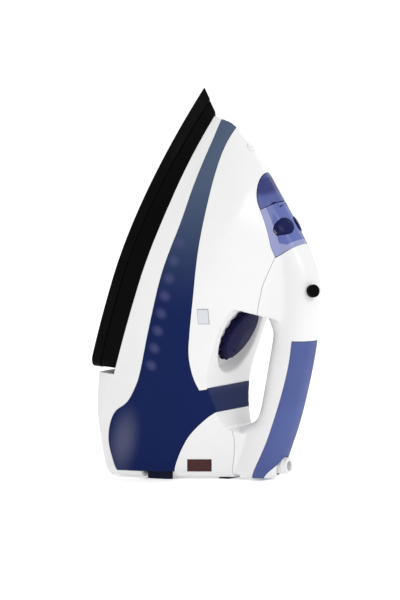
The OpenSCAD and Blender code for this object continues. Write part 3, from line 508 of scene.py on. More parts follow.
def cut(obj, tool, operation="DIFFERENCE", keep=False):
    """A boolean between two closed solids."""
    step = obj.modifiers.new("cut", "BOOLEAN")
    step.operation = operation
    step.solver = "MANIFOLD"
    step.object = tool
    take(obj)
    if not keep:
        drop(tool)
    return obj


def drop(obj):
    mesh = obj.data
    bpy.data.objects.remove(obj)
    bpy.data.meshes.remove(mesh)


def copied(obj, name):
    made = bpy.data.objects.new(name, obj.data.copy())
    bpy.context.scene.collection.objects.link(made)
    return made


def shade(obj, angle=32):
    """Smooth shading that keeps edges over the angle crisp."""
    bm = bmesh.new()
    bm.from_mesh(obj.data)
    bmesh.ops.remove_doubles(bm, verts=bm.verts, dist=2e-6)
    bmesh.ops.dissolve_degenerate(bm, dist=1e-6, edges=bm.edges)
    for face in bm.faces:
        face.smooth = True
    limit = math.radians(angle)
    for edge in bm.edges:
        edge.smooth = edge.is_manifold and edge.calc_face_angle(math.pi) < limit
    bm.to_mesh(obj.data)
    bm.free()
    return obj


def above(z):
    """The side view of all that stands over the level z."""
    return [(-20, -20), (heel_d(-20, z), -20), (heel_d(190, z), 190), (-20, 190)]


forms = {}


def form(t, coarse=1.0, rounds=None):
    """The outer form of all mouldings together, inset by t, remeshed and softened."""
    key = round(t, 2)
    if key in forms:
        return forms[key]
    voxel, softening = ((sizes().voxel, sizes().soften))
    levels = [SHELL_LOW + t + (SHELL_HIGH - SHELL_LOW - 2 * t) * i / 58 for i in range(59)]
    body = loft("form_body", [shell_ring(h, t) for h in levels])
    floor = [(d, deck_h(d) - t) for d in
             [GAP_FRONT - t + (GAP_REAR - GAP_FRONT + 2 * t) * i / 40 for i in range(41)]]
    high = SHELL_HIGH + 9
    cut(body, side_prism("gap", [(GAP_FRONT - t, high)] + floor + [(GAP_REAR + t, high)]))
    brow = rod("brow", 2 * (GAP_ROUND + t), 0, 60, AT_DIAL, segments=96)
    low = deck_h(GAP_FRONT) - t
    before = [(90, low), (DIAL_AT, low), (DIAL_AT, high), (90, high)]
    cut(brow, side_prism("brow_front", before), "INTERSECT")
    cut(body, brow)
    pocket = RING_D + 0.12 + 2 * t
    cut(body, rod("pocket", pocket, -RING_T - RING_GAP - t, 28, AT_DIAL, segments=96))
    bar = loft("form_bar", [bar_ring(50 + 2.5 * i, t) for i in range(85)])
    cut(body, bar, "UNION")
    cut(body, side_prism("over_table", above(RIM_GAP + t / 2)), "INTERSECT")
    remesh = body.modifiers.new("remesh", "REMESH")
    remesh.mode = "VOXEL"
    remesh.voxel_size = voxel * coarse * MM
    soften = body.modifiers.new("soften", "SMOOTH")
    soften.factor = 0.5
    soften.iterations = softening if rounds is None else rounds
    take(body)
    forms[key] = body
    return body


def hollow_form():
    """The form of the room inside the mouldings, which is coarser and less softened."""
    return form(WALL, 1.6, 3)


# --- finishes -----------------------------------------------------------------------------------

# Scale and detail of the noise behind each mark; the skin has a scale alone
CLOUD = (28, 3)
POLISH = (60, 4)
STAIN = (90, 5)
TANK_POLISH = (45, 3)
SKIN = 1400

# Marks on the tinted pieces, in millimetres over the side view, with their tones
# Painted shade on the filler flap: a darker oval patch over the side view
SHADE_PATCH_AT = (50, 74)
SHADE_PATCH_HALF = (9.0, 11.0)
RIB_AT = 104.7
RIB_PITCH = 13.4
RIB_COUNT = 8
RIB_HEIGHT = 41
RIB_CLIMB = 1.1
RIB_HALF = (5.6, 6.2)
RIB_TONE = (0.055, 0.062, 0.16)
# Painted light on the tank: a paler patch low on its rear, a painted glow
PAINTED_GLOW_AT = (262.0, 41.0)
PAINTED_GLOW_HALF = (34.0, 15.0)
PAINTED_GLOW_TONE = (0.075, 0.082, 0.15)
# Levels in metres over the table between which the tank turns pale
PALE_FROM, PALE_TO = 0.12, 0.25


def finish_nodes(name):
    """A new material with its Principled shader, and Object coordinates to read."""
    material = bpy.data.materials.new(name)
    material.use_nodes = True
    nodes, links = material.node_tree.nodes, material.node_tree.links
    shader = nodes["Principled BSDF"]
    coords = nodes.new("ShaderNodeTexCoord").outputs["Object"]
    return material, nodes, links, shader, coords


def noise(nodes, links, coords, scale, detail=2.0):
    node = nodes.new("ShaderNodeTexNoise")
    node.inputs["Scale"].default_value = scale
    node.inputs["Detail"].default_value = detail
    links.new(coords, node.inputs["Vector"])
    return node.outputs["Fac"]


def spread(nodes, links, value, low, high):
    """Maps a noise value, which keeps mostly within 0.3 and 0.7, to a range."""
    node = nodes.new("ShaderNodeMapRange")
    node.inputs["From Min"].default_value = 0.3
    node.inputs["From Max"].default_value = 0.7
    node.inputs["To Min"].default_value = low
    node.inputs["To Max"].default_value = high
    links.new(value, node.inputs["Value"])
    return node.outputs["Result"]


def soft_step(nodes, links, value, start, end):
    """Runs softly from 0 to 1 as the value goes from its start to its end."""
    node = nodes.new("ShaderNodeMapRange")
    node.interpolation_type = "SMOOTHSTEP"
    node.inputs["From Min"].default_value = start
    node.inputs["From Max"].default_value = end
    links.new(value, node.inputs["Value"])
    return node.outputs["Result"]


def two_tones(nodes, links, factor, first, second):
    """Mixes two colours, of which the first may come from a socket."""
    node = nodes.new("ShaderNodeMix")
    node.data_type = "RGBA"
    if isinstance(first, bpy.types.NodeSocket):
        links.new(first, node.inputs["A"])
    else:
        node.inputs["A"].default_value = (*first, 1)
    node.inputs["B"].default_value = (*second, 1)
    links.new(factor, node.inputs["Factor"])
    return node.outputs["Result"]


def toned(colour, share):
    """The colour made darker, or paler with a share over 1."""
    return tuple(v * share for v in colour)


def calc(nodes, links, operation, *values):
    """One sum, with numbers or sockets going in."""
    node = nodes.new("ShaderNodeMath")
    node.operation = operation
    for socket, value in zip(node.inputs, values):
        if isinstance(value, (int, float)):
            socket.default_value = value
        else:
            links.new(value, socket)
    return node.outputs[0]


def side_place(nodes, links, coords):
    """Distance from the tip and height over the sole, in millimetres, for a material to read."""
    made = []
    for axis in (0, 2):
        direction = STANDING.to_3x3().col[axis].normalized()
        node = nodes.new("ShaderNodeVectorMath")
        node.operation = "DOT_PRODUCT"
        node.inputs[1].default_value = direction / MM
        links.new(coords, node.inputs[0])
        start = direction.dot(STANDING.translation) / MM
        made.append(calc(nodes, links, "SUBTRACT", node.outputs["Value"], start))
    return made


def spot(nodes, links, place, middle, halves, hard=0.1):
    """A soft oval patch over the side view, 1 in its middle and 0 outside."""
    sums = []
    for value, centre, half in zip(place, middle, halves):
        aside = calc(nodes, links, "SUBTRACT", value, centre)
        sums.append(calc(nodes, links, "POWER", calc(nodes, links, "DIVIDE", aside, half), 2.0))
    far = calc(nodes, links, "SQRT", calc(nodes, links, "ADD", *sums))
    return soft_step(nodes, links, far, 1.0, hard)


def grain(nodes, links, shader, height, strength, distance):
    bump = nodes.new("ShaderNodeBump")
    bump.inputs["Strength"].default_value = strength
    bump.inputs["Distance"].default_value = distance
    links.new(height, bump.inputs["Height"])
    links.new(bump.outputs["Normal"], shader.inputs["Normal"])


def flap_with_painted_shade(name, colour, shade_tone):
    """The flap's tinted plastic, with painted shade: a darker oval patch where shade falls on it.
    """
    material, nodes, links, shader, coords = finish_nodes(name)
    cloud = spread(nodes, links, noise(nodes, links, coords, *CLOUD), 0, 1)
    tone = two_tones(nodes, links, cloud, colour, toned(colour, 0.88))
    # The oval patch is painted shade, in the darker tone
    painted_shade = spot(nodes, links, side_place(nodes, links, coords), SHADE_PATCH_AT, SHADE_PATCH_HALF, 0.45)
    links.new(two_tones(nodes, links, painted_shade, tone, shade_tone), shader.inputs["Base Color"])
    polish = noise(nodes, links, coords, *POLISH)
    links.new(spread(nodes, links, polish, 0.22, 0.3), shader.inputs["Roughness"])
    grain(nodes, links, shader, noise(nodes, links, coords, SKIN), 0.06, 0.0002)
    shader.inputs["Specular IOR Level"].default_value = 0.12
    return material


def moulded(name, colour, shade, rough, skin=SKIN, depth=0.06, coat=0.0, spec=0.5):
    """Injection-moulded plastic: faint flow of colour, a fine skin and uneven polish. The shade is
    the second colour, or the share of the first one that it is."""
    second = shade if isinstance(shade, tuple) else toned(colour, shade)
    material, nodes, links, shader, coords = finish_nodes(name)
    cloud = spread(nodes, links, noise(nodes, links, coords, *CLOUD), 0, 1)
    links.new(two_tones(nodes, links, cloud, colour, second), shader.inputs["Base Color"])
    polish = noise(nodes, links, coords, *POLISH)
    links.new(spread(nodes, links, polish, rough * 0.85, rough * 1.2), shader.inputs["Roughness"])
    grain(nodes, links, shader, noise(nodes, links, coords, skin), depth, 0.0002)
    shader.inputs["Coat Weight"].default_value = coat
    shader.inputs["Coat Roughness"].default_value = 0.06
    shader.inputs["Specular IOR Level"].default_value = spec
    return material


def metal(name, colour, rough, streaks=False):
    """Metal with faint stains and either cast or drawn marks."""
    material, nodes, links, shader, coords = finish_nodes(name)
    shader.inputs["Metallic"].default_value = 1.0
    stain = spread(nodes, links, noise(nodes, links, coords, *STAIN), 0, 1)
    tone = two_tones(nodes, links, stain, colour, toned(colour, 0.8))
    links.new(tone, shader.inputs["Base Color"])
    scratch = noise(nodes, links, coords, 2600 if streaks else 700, 3)
    links.new(spread(nodes, links, scratch, rough * 0.7, rough * 1.3), shader.inputs["Roughness"])
    grain(nodes, links, shader, scratch, 0.12, 0.0001)
    return material


def tinted_tank(name, deep, pale):
    """Tinted clear moulding: deep blue where it is wide, paler and greyer towards the nose, with
    the soft marks of its moulded ribs. A paler patch low on its rear is painted light, a painted
    glow standing in for light through the empty belly."""
    material, nodes, links, shader, coords = finish_nodes(name)
    split = nodes.new("ShaderNodeSeparateXYZ")
    links.new(coords, split.inputs["Vector"])
    rise = soft_step(nodes, links, split.outputs["Z"], PALE_FROM, PALE_TO)
    tone = two_tones(nodes, links, rise, deep, pale)

    d, h = side_place(nodes, links, coords)
    steps = calc(nodes, links, "DIVIDE", calc(nodes, links, "SUBTRACT", d, RIB_AT), RIB_PITCH)
    rib = calc(nodes, links, "MAXIMUM", calc(nodes, links, "ROUND", steps), 0.0)
    rib = calc(nodes, links, "MINIMUM", rib, RIB_COUNT - 1.0)
    rib_line = calc(nodes, links, "MULTIPLY_ADD", steps, RIB_CLIMB, RIB_HEIGHT)
    halves = (RIB_HALF[0] / RIB_PITCH, RIB_HALF[1])
    ribs = spot(nodes, links, (steps, h), (rib, rib_line), halves)
    # The painted glow: a paler patch of painted light low on the rear
    painted_glow = spot(nodes, links, (d, h), PAINTED_GLOW_AT, PAINTED_GLOW_HALF)
    for mask, colour, share in ((ribs, RIB_TONE, 0.75), (painted_glow, PAINTED_GLOW_TONE, 0.85)):
        tone = two_tones(nodes, links, calc(nodes, links, "MULTIPLY", mask, share), tone, colour)
    links.new(tone, shader.inputs["Base Color"])
    polish = noise(nodes, links, coords, *TANK_POLISH)
    links.new(spread(nodes, links, polish, 0.12, 0.2), shader.inputs["Roughness"])
    grain(nodes, links, shader, noise(nodes, links, coords, 240), 0.03, 0.0004)
    shader.inputs["Specular IOR Level"].default_value = 0.06
    return material


finishes = {}

# The finish of each material slot
LOOKS = {
    "coated_aluminium": "coating", "black_plastic": "black", "white_plastic": "shell",
    "navy_tank": "tank", "tank_blue": "tank", "grip_blue": "grip", "panel_blue": "panel",
    "button_navy": "button", "dial_navy": "dial", "dial_face": "face", "knob_black": "black",
    "feet_rubber": "foot", "seal_rubber": "seal", "bare_aluminium": "sheet", "steel_tube": "steel",
    "zinc_screw": "steel", "brass_pins": "brass", "ceramic": "ceramic", "clear_plastic": "clear",
    "red_lens": "badge", "spring_steel": "steel",
}


def dress(obj, material):
    obj.data.materials.clear()
    obj.data.materials.append(material)


def settle(obj, body, slot, *nodes, look=None):
    """Gives a finished piece its shading, material and body, and hides the CAD nodes it stands for.
    """
    dress(shade(obj), finishes[look or LOOKS[slot]])
    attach(obj, body)
    if nodes:
        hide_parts(*nodes)


# --- settings -----------------------------------------------------------------------------------


def colour_property(name, description, default):
    return bpy.props.FloatVectorProperty(name=name, description=description, subtype="COLOR",
        size=3, min=0.0, max=1.0, default=default)


class IronFinishes(bpy.types.PropertyGroup):
    """Colours of the iron's mouldings and metals."""
    shell: colour_property("Shell", "White mouldings", (0.74, 0.74, 0.745))
    tank: colour_property("Tank", "Water tank, deep part", (0.004, 0.012, 0.072))
    tank_pale: colour_property("Tank nose", "Water tank towards the nose", (0.07, 0.1, 0.16))
    grip: colour_property("Grip", "Soft grip", (0.075, 0.105, 0.29))
    panel: colour_property("Panel", "Control panel", (0.11, 0.14, 0.38))
    border: colour_property("Border", "Raised border of the panel", (0.27, 0.29, 0.5))
    # The tone of the painted shade on the filler flap; the flap itself takes the panel's colour,
    # darker
    flap: colour_property("Flap", "Filler flap", (0.035, 0.04, 0.15))
    button: colour_property("Buttons", "Steam and spray buttons", (0.005, 0.008, 0.07))
    dial: colour_property("Dial", "Temperature dial", (0.008, 0.007, 0.035))
    face: colour_property("Dial face", "Flat face of the temperature dial", (0.014, 0.013, 0.06))
    black: colour_property("Black", "Heat shield, sole coating, lever", (0.002, 0.002, 0.002))
    badge: colour_property("Badge", "Red lens", (0.05, 0.006, 0.006))
    foot: colour_property("Feet", "Rubber feet", (0.006, 0.009, 0.03))


class IronSizes(bpy.types.PropertyGroup):
    """Sizes that belong to the dressing alone."""
    voxel: bpy.props.FloatProperty(name="Voxel", default=1.1, min=0.8, max=3.0,
        description="Fineness of the softened form, in millimetres")
    soften: bpy.props.IntProperty(name="Softening", default=9, min=0, max=40,
        description="Rounds of smoothing of the form")
    camera_distance: bpy.props.FloatProperty(name="Camera distance", default=8, min=0.5, max=12,
        unit="LENGTH", subtype="DISTANCE", description="From the camera to the iron")
    azimuth: bpy.props.FloatProperty(name="Azimuth", default=math.radians(27), unit="ROTATION",
        subtype="ANGLE", description="Side from which the camera looks")
    elevation: bpy.props.FloatProperty(name="Elevation", default=math.radians(5), unit="ROTATION",
        subtype="ANGLE", description="Height from which the camera looks")


def sizes():
    return bpy.context.scene.iron_sizes


def colours():
    return bpy.context.scene.iron_finishes


# --- operators ----------------------------------------------------------------------------------

# Millimetres that the view covers in height at the iron, and where the tip stands from its middle
VIEW_HEIGHT = 444.48
TIP_RIGHT, TIP_UP = 3.11136, 158.01264
SENSOR = 36
CLIP = (0.05, 50)
SKY = 0.8
FLOOR_HALF = 6
FLOOR_TONE, FLOOR_ROUGH, FLOOR_GLOW = 0.95, 0.8, 0.3
# Name, place, size and power of each lamp; all of them point at one place
LAMPS = (
    ("key", (1.9, -1.0, 1.5), 1.0, 19),
    ("fill", (-1.7, -0.9, 1.4), 1.2, 3),
    ("rim", (0.4, 1.8, 1.5), 1.2, 8),
)
LIT_PLACE = Vector((0, 0, 0.14))


class IRON_OT_stage(bpy.types.Operator):
    """Makes the camera, the floor and the soft lights"""
    bl_idname = "iron.stage"
    bl_label = "Stage"

    def execute(self, context):
        scene = context.scene
        cam_data = bpy.data.cameras.new("camera")
        camera = bpy.data.objects.new("camera", cam_data)
        scene.collection.objects.link(camera)
        scene.camera = camera
        s = sizes()
        level = math.cos(s.elevation)
        back = Vector((math.sin(s.azimuth) * level, -math.cos(s.azimuth) * level,
            math.sin(s.elevation)))
        right = Vector((math.cos(s.azimuth), math.sin(s.azimuth), 0))
        up = back.cross(right)
        look = TIP - right * (TIP_RIGHT * MM) - up * (TIP_UP * MM)
        camera.location = look + back * s.camera_distance
        camera.rotation_mode = "QUATERNION"
        camera.rotation_quaternion = Matrix((right, up, back)).transposed().to_quaternion()
        cam_data.sensor_width = SENSOR
        cam_data.lens = SENSOR * s.camera_distance / (VIEW_HEIGHT * MM)
        cam_data.clip_start, cam_data.clip_end = CLIP

        scene.view_settings.view_transform = "Standard"
        world = bpy.data.worlds.new("studio")
        scene.world = world
        world.use_nodes = True
        sky = world.node_tree.nodes["Background"]
        sky.inputs["Color"].default_value = (1, 1, 1, 1)
        sky.inputs["Strength"].default_value = SKY

        bm = bmesh.new()
        bmesh.ops.create_grid(bm, x_segments=1, y_segments=1, size=FLOOR_HALF)
        floor = new_object("floor", bm)
        material, nodes, links, shader, coords = finish_nodes("pale_floor")
        shader.inputs["Base Color"].default_value = (FLOOR_TONE, FLOOR_TONE, FLOOR_TONE, 1)
        shader.inputs["Roughness"].default_value = FLOOR_ROUGH
        shader.inputs["Emission Color"].default_value = (1, 1, 1, 1)
        shader.inputs["Emission Strength"].default_value = FLOOR_GLOW
        dress(floor, material)

        for name, place, size, power in LAMPS:
            lamp = bpy.data.lights.new(name, "AREA")
            lamp.size, lamp.energy = size, power
            obj = bpy.data.objects.new(name, lamp)
            scene.collection.objects.link(obj)
            obj.location = place
            aim = LIT_PLACE - Vector(place)
            obj.rotation_euler = aim.to_track_quat("-Z", "Y").to_euler()
        return {"FINISHED"}


class IRON_OT_finishes(bpy.types.Operator):
    """Makes the materials and dresses the CAD parts that keep their shape"""
    bl_idname = "iron.finishes"
    bl_label = "Finishes"

    def execute(self, context):
        c = colours()
        finishes.update(
            shell=moulded("white_shell", c.shell, 0.97, 0.35, coat=0.1, spec=0.4),
            tank=tinted_tank("tinted_tank", c.tank, c.tank_pale),
            grip=moulded("soft_grip", c.grip, 0.85, 0.5, 1800, 0.2, spec=0.2),
            panel=moulded("tinted_panel", c.panel, 0.9, 0.25, coat=0.05, spec=0.15),
            border=moulded("panel_border", c.border, 0.9, 0.3, spec=0.2),
            # The flap gets a patch of painted shade in the Flap tone
            flap=flap_with_painted_shade("tinted_flap", toned(c.panel, 0.8), c.flap),
            button=moulded("button_blue", c.button, 0.8, 0.3, spec=0.12),
            dial=moulded("dial_blue", c.dial, 0.8, 0.5, spec=0.02),
            face=moulded("dial_face_blue", c.face, 0.85, 0.5, spec=0.02),
            black=moulded("black_moulding", c.black, 0.7, 0.5, 2200, 0.15, spec=0.03),
            coating=moulded("sole_coating", c.black, 1.6, 0.5, 3200, 0.1, spec=0.03),
            badge=moulded("red_lens", c.badge, 0.8, 0.16, coat=0.2, spec=0.2),
            foot=moulded("foot_rubber", c.foot, 0.7, 0.6, 1600, 0.3, spec=0.1),
            seal=moulded("seal_rubber", (0.03, 0.03, 0.033), (0.02, 0.02, 0.022), 0.6, 1500, 0.3),
            ceramic=moulded("ceramic", (0.7, 0.67, 0.6), (0.62, 0.59, 0.52), 0.5, 900, 0.25),
            clear=moulded("milky_moulding", (0.62, 0.64, 0.67), (0.55, 0.57, 0.6), 0.22, coat=0.3),
            sheet=metal("bare_sheet", (0.75, 0.76, 0.78), 0.3),
            steel=metal("steel", (0.56, 0.57, 0.59), 0.26, True),
            brass=metal("brass", (0.75, 0.55, 0.25), 0.25, True),
        )
        slots = {part["node"]: part["material_slot"] for part in frame["record"]["subparts"]}
        for node, obj in frame["nodes"].items():
            dress(obj, finishes[LOOKS[slots[node]]])
        return {"FINISHED"}


def moulding(name, outline):
    """One visible moulding: the softened form within a side view, less the hollow inside."""
    piece = copied(form(0.0), name)
    cut(piece, side_prism(name + "_side", inset(outline, SEAM / 2)), "INTERSECT")
    cut(piece, hollow_form(), keep=True)
    for plate in PLATES.get(name, ()):
        wall = side_prism(name + "_plate", plate)
        cut(wall, form(SEAM), "INTERSECT", keep=True)
        cut(wall, side_prism(name + "_floor", above(FOOT_HEIGHT)), "INTERSECT")
        cut(piece, wall, "UNION")
    return piece


def heel_rim():
    """The white rim that the tank stands on, round the heel."""
    rim = copied(form(0.0), "heel_rim")
    around = RIM_LINE + [(S + 90, RIM_END), (S + 28, RIM_END)]
    cut(rim, side_prism("rim_side", around), "INTERSECT")
    cut(rim, hollow_form(), keep=True)
    return cut(rim, side_prism("rim_level", above(FOOT_HEIGHT - SEAM)))


def panel_outline(grow, start, end):
    half = PANEL_WIDTH / 2 + grow
    front = -PANEL_LENGTH / 2 - grow
    back = PANEL_LENGTH / 2
    angles = [math.pi / 48 * i for i in range(25)]
    side = [(front + (TIP_RUN + grow) * (1 - math.cos(a)), half * math.sin(a)) for a in angles]
    side += [(back - 8, half), (back + grow, half - 1.4)]
    outline = side + [(x, -y) for x, y in side[:0:-1]]
    return [(min(max(x, start), end), y) for x, y in outline]


def panel_plan(name, grow, start=-100, end=100):
    """A tool through the panel, over its outline grown by a distance."""
    return prism(name, panel_outline(grow, start, end), -40, 30, ON_SLOPE)


def window(name, at, size, grow, turn=0.0):
    """An upright rectangular tool on the near side, which may be turned about the upright."""
    place = placed(at[0], 0, at[1]).translation - Vector((0, full_half(*at), 0)) * MM
    upright = Matrix.Translation(place) @ Matrix.Rotation(turn, 4, "Z")
    return block(name, (0, 0, 0), (size[0] + grow, 34, size[1] + grow), upright)


class IRON_OT_mouldings(bpy.types.Operator):
    """Makes the white shells, the tank, the grip and the end cap"""
    bl_idname = "iron.mouldings"
    bl_label = "Mouldings"

    def execute(self, context):
        pieces = {name: moulding("moulded_" + name, outline) for name, outline in EDGES.items()}
        front = pieces["front_cover"]
        cut(front, panel_plan("panel_hole", SEAM))
        cut(front, window("pilot_hole", PILOT_AT, PILOT_SIZE, SEAM))
        cut(front, rod("nozzle_hole", NOZZLE_D + 0.2, -30, 30, AT_NOZZLE))
        badge_hole = window("badge_hole", BADGE_AT, BADGE_SIZE, SEAM, BADGE_TURN)
        cut(pieces["rear_cover"], badge_hole)
        cut(pieces["handle_shell"], lever_slot())
        for name in ("end_cap", "grip"):
            cut(pieces[name], rod("cord_hole", NECK_D + 2.3, -20, 60, at_inlet()))
        cut(pieces["grip"], block("socket_room", *SOCKET_ROOM, at_inlet()))
        cut(pieces["water_tank"], side_prism("foot_level", above(FOOT_HEIGHT)), "INTERSECT")
        cut(pieces["lower_shell"], heel_rim(), "UNION")
        for name in ("rear_cover", "water_tank"):
            for tool in foot_rooms():
                cut(pieces[name], tool)
        slots = {"water_tank": "navy_tank", "grip": "grip_blue"}
        for name, obj in pieces.items():
            settle(obj, "housing", slots.get(name, "white_plastic"), name)
        return {"FINISHED"}


def at_inlet():
    """The frame of the cord's inlet, whose Z runs out of the heel."""
    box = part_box("cord_gland")
    middle = (box[0] + box[1]) / 2
    inlet = Vector((box[0].x + INLET_DEPTH * MM, middle.y, middle.z))
    return Matrix.Translation(inlet) @ Matrix.Rotation(math.pi / 2, 4, "Y")


def lever_slot():
    """The curved slot that the steam lever swings in, cut in short straight steps."""
    steps = []
    middle, size = (-LEVER_DEPTH - 8, 0, 0), (LEVER_DEPTH + 4, LEVER_SLOT, LEVER_SLOT)
    for i in range(17):
        place = AT_LEVER @ turned(-LEVER_SWING + i * LEVER_SWING / 8)
        steps.append(block("slot_step", middle, size, place))
    for step in steps[1:]:
        cut(steps[0], step, "UNION")
    return steps[0]


def turned(degrees):
    return Matrix.Rotation(math.radians(degrees), 4, "Z")


def foot_rooms():
    """Room for the feet and the pad in the mouldings over them."""
    high = PLATE_LOW + SEAM
    rooms = [block("foot_room", (heel_x(FOOT_AT), side * FOOT_Y, high / 2 - 1),
        (FOOT_LENGTH + 2 * SEAM, FOOT_WIDTH + 2 * SEAM, high + 2), UPRIGHT) for side in (-1, 1)]
    rooms.append(block("pad_room", (heel_x(PAD_AT), 0, high / 2 - 1),
        (PAD_LENGTH + 2 * SEAM, 2 * PAD_HALF + 2 * SEAM, high + 2), UPRIGHT))
    return rooms


class IRON_OT_panel(bpy.types.Operator):
    """Makes the control panel with its border, the filler flap and the badge lens"""
    bl_idname = "iron.panel"
    bl_label = "Panel"

    def execute(self, context):
        far = [(-10, 60), (150, 60), (150, 200), (-10, 200)]
        panel = moulding("moulded_control_panel", far)
        cut(panel, panel_plan("panel_plan", 0, start=FLAP_SPLIT + 0.4), "INTERSECT")
        for side in (-1, 1):
            cut(panel, rod("button_hole", BUTTON_D + 0.6, -20, 20, button_frame(side)))
        cut(panel, knuckle(KNUCKLE_D + 2.2, 2 * KNUCKLE_HALF + 0.6))
        border = copied(panel, "panel_border")
        cut(border, panel_plan("border_inner", -BORDER))
        cut(panel, panel_plan("panel_inner", -BORDER - 0.12), "INTERSECT")
        settle(panel, "housing", "panel_blue", "control_panel")
        settle(border, "housing", "panel_blue", look="border")

        flap = moulding("moulded_filler_flap", far)
        cut(flap, panel_plan("flap_plan", -SEAM, end=FLAP_SPLIT - 0.1), "INTERSECT")
        cut(flap, knuckle(FLAP_SCOOP, PANEL_WIDTH + 4))
        settle(flap, "filler_lid", "panel_blue", "filler_flap", look="flap")

        badge = copied(form(0.0), "badge_window")
        badge_edge = window("badge_edge", BADGE_AT, BADGE_SIZE, -SEAM, BADGE_TURN)
        cut(badge, badge_edge, "INTERSECT")
        cut(badge, hollow_form(), keep=True)
        settle(badge, "housing", "red_lens", "badge_lens")
        return {"FINISHED"}


def knuckle(diameter, length):
    """A rod along the flap's hinge."""
    place = ON_SLOPE @ Matrix.Translation(Vector((FLAP_SPLIT + 1.6, 0, HINGE_N)) * MM)
    place = place @ Matrix.Rotation(math.pi / 2, 4, "X")
    return rod("knuckle", diameter, -length / 2, length / 2, place)


def button_frame(side):
    return ON_SLOPE @ Matrix.Translation(Vector((BUTTON_S, side * BUTTON_PITCH / 2, 0)) * MM)


def ring_around(reaches, z):
    """A level outline from its reaches out of the axis, at equal angles."""
    angles = [2 * math.pi * i / len(reaches) for i in range(len(reaches))]
    return [(reach * math.cos(a), reach * math.sin(a), z) for reach, a in zip(reaches, angles)]


def dial_ring(z, t):
    """One level outline of the dial's toothed rim, inset by t."""
    middle = DIAL_D / 2 - TOOTH_R
    reaches = []
    for i in range(DIAL_TEETH * TOOTH_STEPS):
        off = ((i / TOOTH_STEPS + 0.5) % 1 - 0.5) * 2 * math.pi / DIAL_TEETH
        aside = middle * math.sin(off)
        tooth = 0
        if abs(aside) < TOOTH_R:
            tooth = middle * math.cos(off) + math.sqrt(TOOTH_R**2 - aside**2)
        reaches.append(max(tooth, middle + 0.15) - t)
    return ring_around(reaches, z)


def disc_rings(radius, low, high, soft, count=96):
    """Outlines of a round piece with softened edges."""
    levels = [(low, soft), (low + soft * 0.3, soft * 0.3), (low + soft, 0)]
    levels += [(high - soft, 0), (high - soft * 0.3, soft * 0.3), (high, soft)]
    return [ring_around([radius - t] * count, z) for z, t in levels]


class IRON_OT_dial(bpy.types.Operator):
    """Makes the temperature dial with its coarse teeth, and its face"""
    bl_idname = "iron.dial"
    bl_label = "Dial"

    def execute(self, context):
        high = DIAL_T - 0.8
        levels = [(0, 0.5), (0.15, 0.15), (0.5, 0), (high - 0.8, 0), (high - 0.25, 0.25)]
        levels.append((high, 0.8))
        dial = loft("toothed_dial", [dial_ring(z, t) for z, t in levels], AT_DIAL)
        body = loft("dial_body", disc_rings(DIAL_D / 2 - TOOTH_R, 0.1, DIAL_T, 0.5), AT_DIAL)
        cut(dial, body, "UNION")
        cut(dial, rod("dial_recess", CAP_D, DIAL_T - 1.5, DIAL_T + 2, AT_DIAL, segments=96))
        cut(dial, rod("dial_bore", SPINDLE_D, -1, DIAL_T - 1, AT_DIAL))
        settle(dial, "dial_knob", "dial_navy", "dial")
        face = loft("dial_face", disc_rings(CAP_D / 2, DIAL_T - 1.5, DIAL_T + 0.6, 0.35), AT_DIAL)
        mark = AT_DIAL @ Matrix.Translation(Vector((DIAL_D / 2 - 9.5, 0, 0)) * MM)
        cut(face, rod("dial_mark", 3, DIAL_T + 0.1, DIAL_T + 2, mark, segments=32))
        settle(face, "dial_knob", "dial_face", "dial_cap")
        return {"FINISHED"}


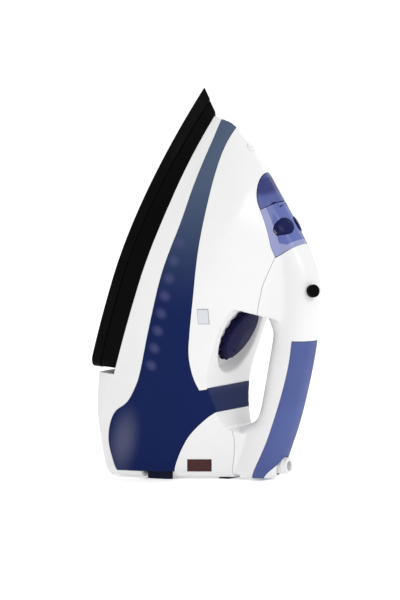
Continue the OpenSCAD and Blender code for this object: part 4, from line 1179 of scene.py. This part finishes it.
class IRON_OT_sole(bpy.types.Operator):
    """Makes the soleplate and the black heat shield"""
    bl_idname = "iron.sole"
    bl_label = "Sole"

    def execute(self, context):
        levels = [(0, SOLE_SOFT), (0.25, 0.47), (SOLE_SOFT, 0), (SOLE_EDGE - 0.3, 0)]
        levels.append((SOLE_EDGE, 0.25))
        sole = loft("coated_soleplate", [sole_ring(h, t) for h, t in levels])
        for i in range(HOLE_COUNT):
            d = HOLES_FROM + HOLES_RUN * i / (HOLE_COUNT - 1)
            for side in (-1, 1):
                steam_hole(sole, d, side * (sole_half(d) - HOLES_IN))
        for i in range(3):
            for side in ((-1, 1) if i else (1,)):
                steam_hole(sole, 30 + 7 * i, side * 3.2 * i)
        settle(sole, "housing", "coated_aluminium", "soleplate")

        levels = [(SOLE_EDGE + 0.4, 0.7), (SOLE_EDGE + 0.7, 0.4), (BAND_TOP - 0.5, 0.4)]
        levels.append((BAND_TOP, 0.9))
        band = loft("moulded_heat_shield", [sole_ring(h, t) for h, t in levels])
        cut(band, over_band(0))
        levels = (SOLE_EDGE - 2, BAND_TOP - SHIELD_DECK)
        hollow = loft("band_hollow", [sole_ring(h, BAND_WALL + 0.4) for h in levels])
        cut(hollow, over_band(-SHIELD_DECK))
        cut(band, hollow)
        settle(band, "housing", "black_plastic", "heat_shield")
        return {"FINISHED"}


def over_band(rise):
    """A tool over the line where the heat shield ends, moved up by a distance."""
    line = [(p.x, p.y + rise) for p in BAND_LINE]
    return side_prism("over_band", line + [(125, BAND_TOP + 9), (-5, BAND_TOP + 9)])


def steam_hole(sole, d, y):
    """A round hole with a softened rim through the sole's face."""
    place = placed(d, y, 0)
    cut(sole, rod("hole", HOLE_D, -1, SOLE_DECK, place, segments=28))
    cut(sole, rod("hole_rim", HOLE_RIM_D, -0.2, 0.8, place, top_diameter=3.2, segments=28))


class IRON_PT_sidebar(bpy.types.Panel):
    """Lists the steps that dress the iron"""
    bl_label = "Steam Iron"
    bl_idname = "IRON_PT_sidebar"
    bl_space_type = "VIEW_3D"
    bl_region_type = "UI"
    bl_category = "Iron"

    def draw(self, context):
        for group in (context.scene.iron_sizes, context.scene.iron_finishes):
            for key in group.__annotations__:
                self.layout.prop(group, key)
        for operator in STEPS:
            self.layout.operator(operator.bl_idname)


STEPS = (
    IRON_OT_stage, IRON_OT_finishes, IRON_OT_mouldings, IRON_OT_panel, IRON_OT_dial, IRON_OT_sole,
)
CLASSES = (IronFinishes, IronSizes) + STEPS + (IRON_PT_sidebar,)


def register():
    for cls in CLASSES:
        bpy.utils.register_class(cls)
    bpy.types.Scene.iron_finishes = bpy.props.PointerProperty(type=IronFinishes)
    bpy.types.Scene.iron_sizes = bpy.props.PointerProperty(type=IronSizes)


def unregister():
    del bpy.types.Scene.iron_sizes
    del bpy.types.Scene.iron_finishes
    for cls in reversed(CLASSES):
        bpy.utils.unregister_class(cls)


def main():
    register()
    for operator in STEPS:
        group, step = operator.bl_idname.split(".")
        getattr(getattr(bpy.ops, group), step)()
    for made in forms.values():
        drop(made)


if __name__ == "__main__":
    main()
